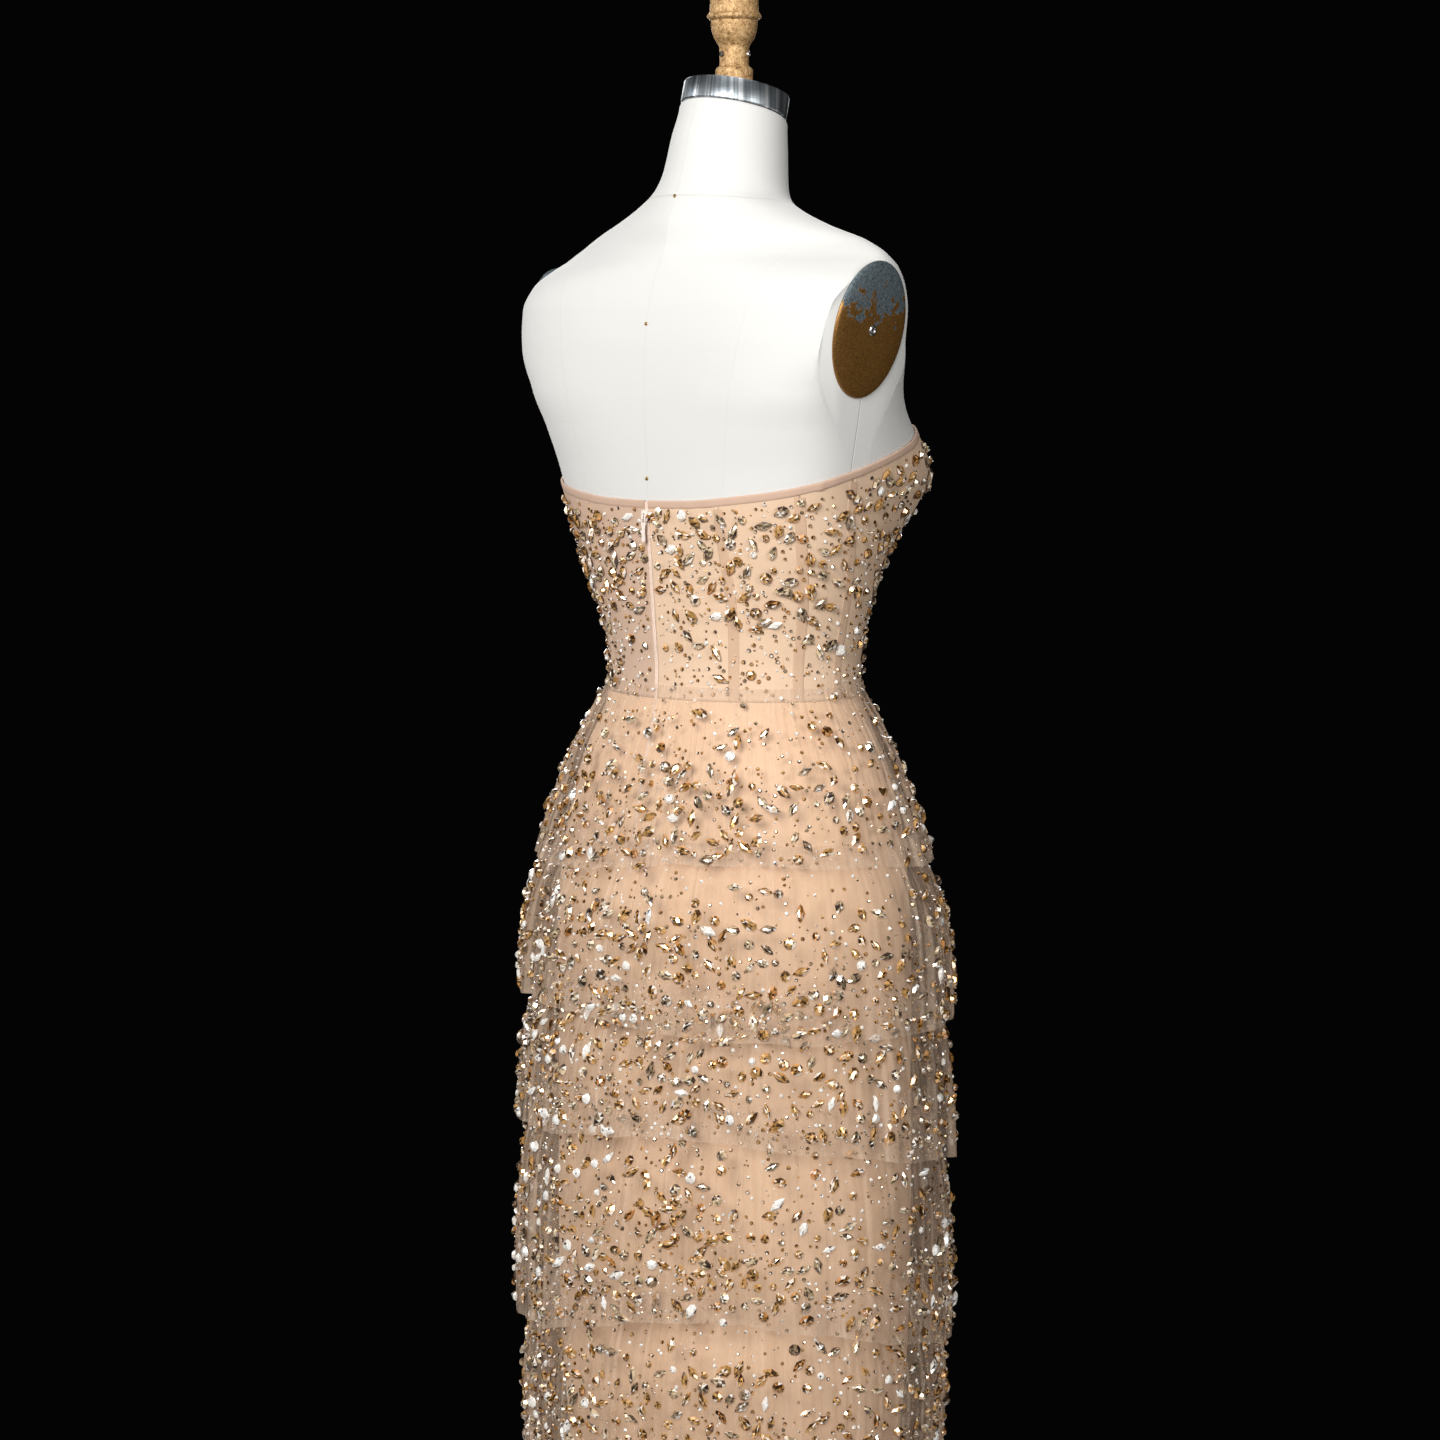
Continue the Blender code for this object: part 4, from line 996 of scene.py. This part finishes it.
# A cut stone on the XY plane: foot ring, girdle ring, table ring and tip.
def stoneTemplate(kind):
    length, width, height, corners = crystals["shapes"][kind]
    turns = np.linspace(0, 2 * math.pi, corners, endpoint=False)
    x, y = np.cos(turns), np.sin(turns)
    if kind == "marquise":
        y = np.sign(y) * (1 - np.abs(x) ** 1.7)
    elif kind == "pear":
        y = y * np.where(x > 0, (1 - x) ** 0.55 * 0.9 + 0.1, 1.0)
    ring = np.stack([x * length / 2, y * width / 2], axis=-1)
    rims = [(0.78, 0.0), (1.0, 0.30 * height), (0.56, 0.92 * height)]
    verts = np.concatenate([np.column_stack([ring * s, np.full(corners, z)]) for s, z in rims])
    verts = np.vstack([verts, [(0, 0, height)]])
    girdle, table, tip = corners, 2 * corners, 3 * corners
    faces = []
    for c in range(corners):
        d = (c + 1) % corners
        faces.append((c, d, girdle + d, girdle + c))
        if c % 2:
            faces += [(girdle + c, girdle + d, table + d), (girdle + c, table + d, table + c)]
        else:
            faces += [(girdle + c, girdle + d, table + c), (girdle + d, table + d, table + c)]
        faces.append((table + c, table + d, tip))
    return verts, faces


def beadTemplate(size, height, corners):
    turns = np.linspace(0, 2 * math.pi, corners, endpoint=False)
    ring = np.stack([np.cos(turns), np.sin(turns)], axis=-1) * size / 2
    foot = np.column_stack([ring, np.zeros(corners)])
    if corners <= 4:
        return np.vstack([foot, [(0, 0, height)]]), [(c, (c + 1) % corners, corners) for c in range(corners)]
    verts = np.vstack([foot, np.column_stack([ring * 0.5, np.full(corners, height)])])
    faces = [(c, (c + 1) % corners, corners + (c + 1) % corners, corners + c) for c in range(corners)]
    return verts, faces + [tuple(range(corners, 2 * corners))]


# Cut glass over foil: gold facets, painted dark reflections and painted white highlights side by side.
def facetColoursWithPaintedLight(rng, tone, faces):
    tone = np.array(tone)
    milky = tone[0] - tone[2] < 0.2
    result = []
    for face in faces:
        pick = rng.random()
        # the flat top of a rhinestone gets the painted highlights more often, the steep sides never
        if len(face) == 6:  # the flat top of a rhinestone
            pick = 0.42 + 0.58 * pick
        elif len(face) == 4:  # the steep side is never the bright one
            pick *= 0.55
        if pick < (0.06 if milky else 0.32):
            # painted dark reflection
            result.append(tone * (0.15, 0.135, 0.17) * rng.uniform(0.4, 1.5))
        elif pick < 0.62:
            # the glass tone, darker on some facets as painted shade
            result.append(tone * (rng.uniform(0.8, 1.0) if milky else rng.uniform(0.5, 0.9)))
        elif pick < 0.88:
            # painted highlight: the tone made lighter
            result.append(np.clip(tone * (1.15, 1.05, 1.1) + 0.05, 0, 1))
        else:
            # painted white highlight
            result.append(np.clip(tone * 0.3 + 0.72, 0, 1))
    return result


# One mesh of many stones. placed holds (template, origin, normal, spin, scale, tone) for each.
def joinStones(name, placed, rng):
    verts, faces, tones, count = [], [], [], 0
    for (shapeVerts, shapeFaces), origin, normal, spin, scale, tone in placed:
        lean = unit(normal + rng.normal(0, 0.13, 3))
        side = unit(np.cross(lean, (0.31, 0.2, 0.93)))
        other = np.cross(lean, side)
        along = side * math.cos(spin) + other * math.sin(spin)
        across = np.cross(lean, along)
        verts.append(origin + (shapeVerts * scale) @ np.stack([along, across, lean]))
        faces += [tuple(count + i for i in face) for face in shapeFaces]
        # each facet's tone, with its painted dark reflections and painted highlights
        tones += facetColoursWithPaintedLight(rng, tone, shapeFaces)
        count += len(shapeVerts)
    piece = finishMesh(name, toWorld(np.concatenate(verts)), faces, crystal, smooth=False)
    sizes = np.array([len(f) for f in faces])
    colours = np.ones((sizes.sum(), 4), np.float32)
    colours[:, :3] = np.repeat(np.array(tones), sizes, axis=0)
    layer = piece.data.color_attributes.new("facetToneAndPaintedLight", "FLOAT_COLOR", "CORNER")
    layer.data.foreach_set("color", colours.ravel())
    return piece


# Places on a band of cloth that closes on itself, each as far from the others as their sizes ask.
def scatter(rng, wide, tall, weight, wanted, apart, taken, cell=14.0):
    found = []
    tries = 0
    while len(found) < wanted and tries < wanted * 14:
        tries += 1
        u, v = rng.uniform(0, wide), rng.uniform(0, tall)
        if rng.random() > weight(u, v):
            continue
        key = (int(u / cell), int(v / cell))
        near = [p for i in (-1, 0, 1) for j in (-1, 0, 1) for p in taken.get((key[0] + i, key[1] + j), ())]
        if any((p[0] - u) ** 2 + (p[1] - v) ** 2 < (0.5 * (p[2] + apart)) ** 2 for p in near):
            continue
        taken.setdefault(key, []).append((u, v, apart))
        found.append((u, v))
    return found


# One of the glass colours. The last of them, the milky one, is likelier by the factor clear.
def pickTone(rng, clear):
    last = len(crystals["tones"]) - 1
    tones = [(share * (clear if k == last else 1), tone) for k, (share, tone) in enumerate(crystals["tones"])]
    pick = rng.uniform(0, sum(share for share, _ in tones))
    for share, tone in tones:
        pick -= share
        if pick <= 0:
            return tone
    return tones[0][1]


# Large stones, rhinestones and seed stones over one band of cloth.
def stud(name, seed, wide, tall, locate, isPale, largeWeight, fineWeight, counts):
    rng = np.random.default_rng(seed)
    templates = {kind: stoneTemplate(kind) for kind in crystals["shapes"]}
    names, odds = zip(*crystals["mix"])
    taken, placed = {}, []
    for u, v in scatter(rng, wide, tall, largeWeight, counts[0], crystals["apart"][0], taken):
        kind = rng.choice(names, p=odds)
        origin, normal = locate(u, v)
        spin = rng.normal(0, 0.9) if kind in ("marquise", "pear") else rng.uniform(0, 6.28)
        size = rng.uniform(0.82, 1.08)
        placed.append((templates[kind], origin, normal, spin, size, pickTone(rng, 3 if isPale(u) else 1)))
    for bead, wanted, apart in zip(crystals["beads"], counts[1:], crystals["apart"][1:]):
        shape = beadTemplate(*bead)
        for u, v in scatter(rng, wide, tall, fineWeight, wanted, apart, taken):
            origin, normal = locate(u, v)
            spin, size = rng.uniform(0, 6.28), rng.uniform(0.8, 1.15)
            placed.append((shape, origin, normal, spin, size, pickTone(rng, 5)))
    dress(joinStones(name, placed, rng))


# A point and normal of a closed grid: u in columns, v in rows.
def onGrid(grid, u, v):
    rowCount, columnCount = grid.shape[:2]
    r = min(int(v), rowCount - 2)
    c = int(u) % columnCount
    d = (c + 1) % columnCount
    fu, fv = u - int(u), v - r
    low = grid[r, c] * (1 - fu) + grid[r, d] * fu
    high = grid[r + 1, c] * (1 - fu) + grid[r + 1, d] * fu
    around = grid[r, (c + 3) % columnCount] - grid[r, (c - 3) % columnCount]
    up = grid[min(r + 1, rowCount - 1), c] - grid[r, c]
    normal = unit(np.cross(around, up))
    return low * (1 - fv) + high * fv + normal * 0.25, normal


def makeTierCrystals():
    trials = np.linspace(0, 1, 101)
    fineBand = crystals["fineBand"]
    for k, (grid, shares, tier) in enumerate(tierGrids):
        columnCount = grid.shape[1]
        around = np.linalg.norm(np.roll(grid[6], -12, axis=0) - grid[6], axis=-1).sum() / 12
        tall = tier["top"] - tier["hem"]
        band = crystals["bands"][k]

        def locate(u, v):
            row = float(np.interp(v / tall, shares[::-1], np.arange(len(shares))[::-1]))
            return onGrid(grid, u / around * columnCount, row)

        def isPale(u):  # the left back has more milky stones
            return k > 0 and 10 < u / around * 360 < 105

        def largeWeight(u, v):
            return np.interp(v / tall, *band)

        def fineWeight(u, v):
            return np.interp(v / tall, *fineBand)

        area = around * tall / 100
        large, rhinestone, seed = crystals["density"]
        spread = np.interp(trials, *fineBand).mean()
        counts = (int(area * large * np.interp(trials, *band).mean()), int(area * rhinestone * spread),
                  int(area * seed * spread))
        stud(f"tierStones{k + 1}", 70 + k, around, tall, locate, isPale, largeWeight,
             fineWeight, counts)


def makeBodiceCrystals():
    angles = np.linspace(0, 360, 721)
    run = np.concatenate([[0], np.cumsum(arcRate(angles[:-1], np.full(720, 110.0)) * 0.5)])
    stretch = 1.9  # millimetres of spacing for each hundredth of the bodice's height

    def angleAt(u):
        return float(np.interp(u, run, angles))

    def locate(u, v):
        angle = np.array(angleAt(u))
        height = np.array(v / stretch / 100.0 * float(topEdge(angle)))
        return offFigure(angle, height, np.array(bodiceOut + 0.5)), figureNormal(angle, height)

    def weight(u, v, band):
        return float(np.interp(v / stretch, *band)) * (abs(angleAt(u) - 90) > crystals["zipClear"])

    def isPale(u):
        return False

    def largeWeight(u, v):
        return weight(u, v, crystals["bodiceLarge"])

    def fineWeight(u, v):
        return weight(u, v, crystals["bodiceFine"])

    stud("bodiceStones", 61, float(run[-1]), 100.0 * stretch, locate, isPale, largeWeight,
         fineWeight, crystals["bodiceCounts"])


makeBodiceCrystals()
makeTierCrystals()
print("gown: crystals made")


# The solids that stay are only given their finishes.
def repaint(name, material):
    piece = frame["nodes"][name]
    if not piece.material_slots:
        piece.data.materials.append(material)
    for slot in piece.material_slots:
        slot.material = material


keptFinishes = dict(neck_cap=paint["capWood"], stand_flange=paint["baseIron"], stand_pole=poleSteel,
                    stand_base=paint["baseIron"], zip_slider=paint["zipEnamel"], zip_pull=paint["zipEnamel"])
for keptNode, finish in keptFinishes.items():
    repaint(keptNode, finish)


def makeFloor():
    disc = turnedPiece("floorDisc", [(1150, -8), (1150, -0.6), (0.5, -0.5)], paint["paleFloor"], 128)


lamps = dict(  # azimuth, height, distance, size, power, colour and the height it aims at
    keySoft=(113, 2.2, 2.5, (1.4, 1.1), 92, (1.0, 0.985, 0.96), 1.3),
    fillSoft=(173, 1.7, 2.9, (1.0, 1.4), 36, (1.0, 0.99, 0.97), 1.4),
    rimSoft=(32, 1.8, 2.6, (0.8, 1.8), 20, (1, 1, 1), 1.2),
    frontSoft=(318, 1.9, 2.7, (1.4, 1.8), 52, (1, 1, 1), 1.1),
    topSoft=(135, 3.3, 0.5, (1.6, 1.6), 10, (1, 1, 1), 1.2),
)


def areaLight(name, azimuth, height, distance, size, power, colour, aim):
    data = bpy.data.lights.new(name, "AREA")
    data.shape = "RECTANGLE"
    data.size, data.size_y = size
    data.energy = power
    data.color = colour
    lamp = bpy.data.objects.new(name, data)
    a = math.radians(azimuth)
    lamp.location = (distance * math.cos(a), distance * math.sin(a), height)
    lamp.rotation_euler = (Vector((0, 0, aim)) - lamp.location).to_track_quat("-Z", "Y").to_euler()
    bpy.context.scene.collection.objects.link(lamp)


view = dict(angle=135.0, distance=3.0, height=1.334, aside=0.0117, lens=90.0, pitch=5.87)


def makeCamera():
    a = math.radians(view["angle"])
    back = Vector((math.cos(a), math.sin(a), 0))
    right = Vector((-back.y, back.x, 0))
    data = bpy.data.cameras.new("photoCamera")
    data.lens = view["lens"]
    data.sensor_width = 36.0
    camera = bpy.data.objects.new("photoCamera", data)
    camera.location = back * view["distance"] - right * view["aside"] + Vector((0, 0, view["height"]))
    camera.rotation_euler = (math.radians(90 - view["pitch"]), 0, math.radians(view["angle"] + 90))
    bpy.context.scene.collection.objects.link(camera)
    bpy.context.scene.camera = camera


makeFloor()
makeCamera()
for lampName, lamp in lamps.items():
    areaLight(lampName, *lamp)
world = bpy.data.worlds.new("studio")
world.use_nodes = True
world.node_tree.nodes["Background"].inputs[0].default_value = (0.0012, 0.0012, 0.0013, 1)
bpy.context.scene.world = world
bpy.context.scene.view_settings.view_transform = "Standard"
print("gown: stage made")
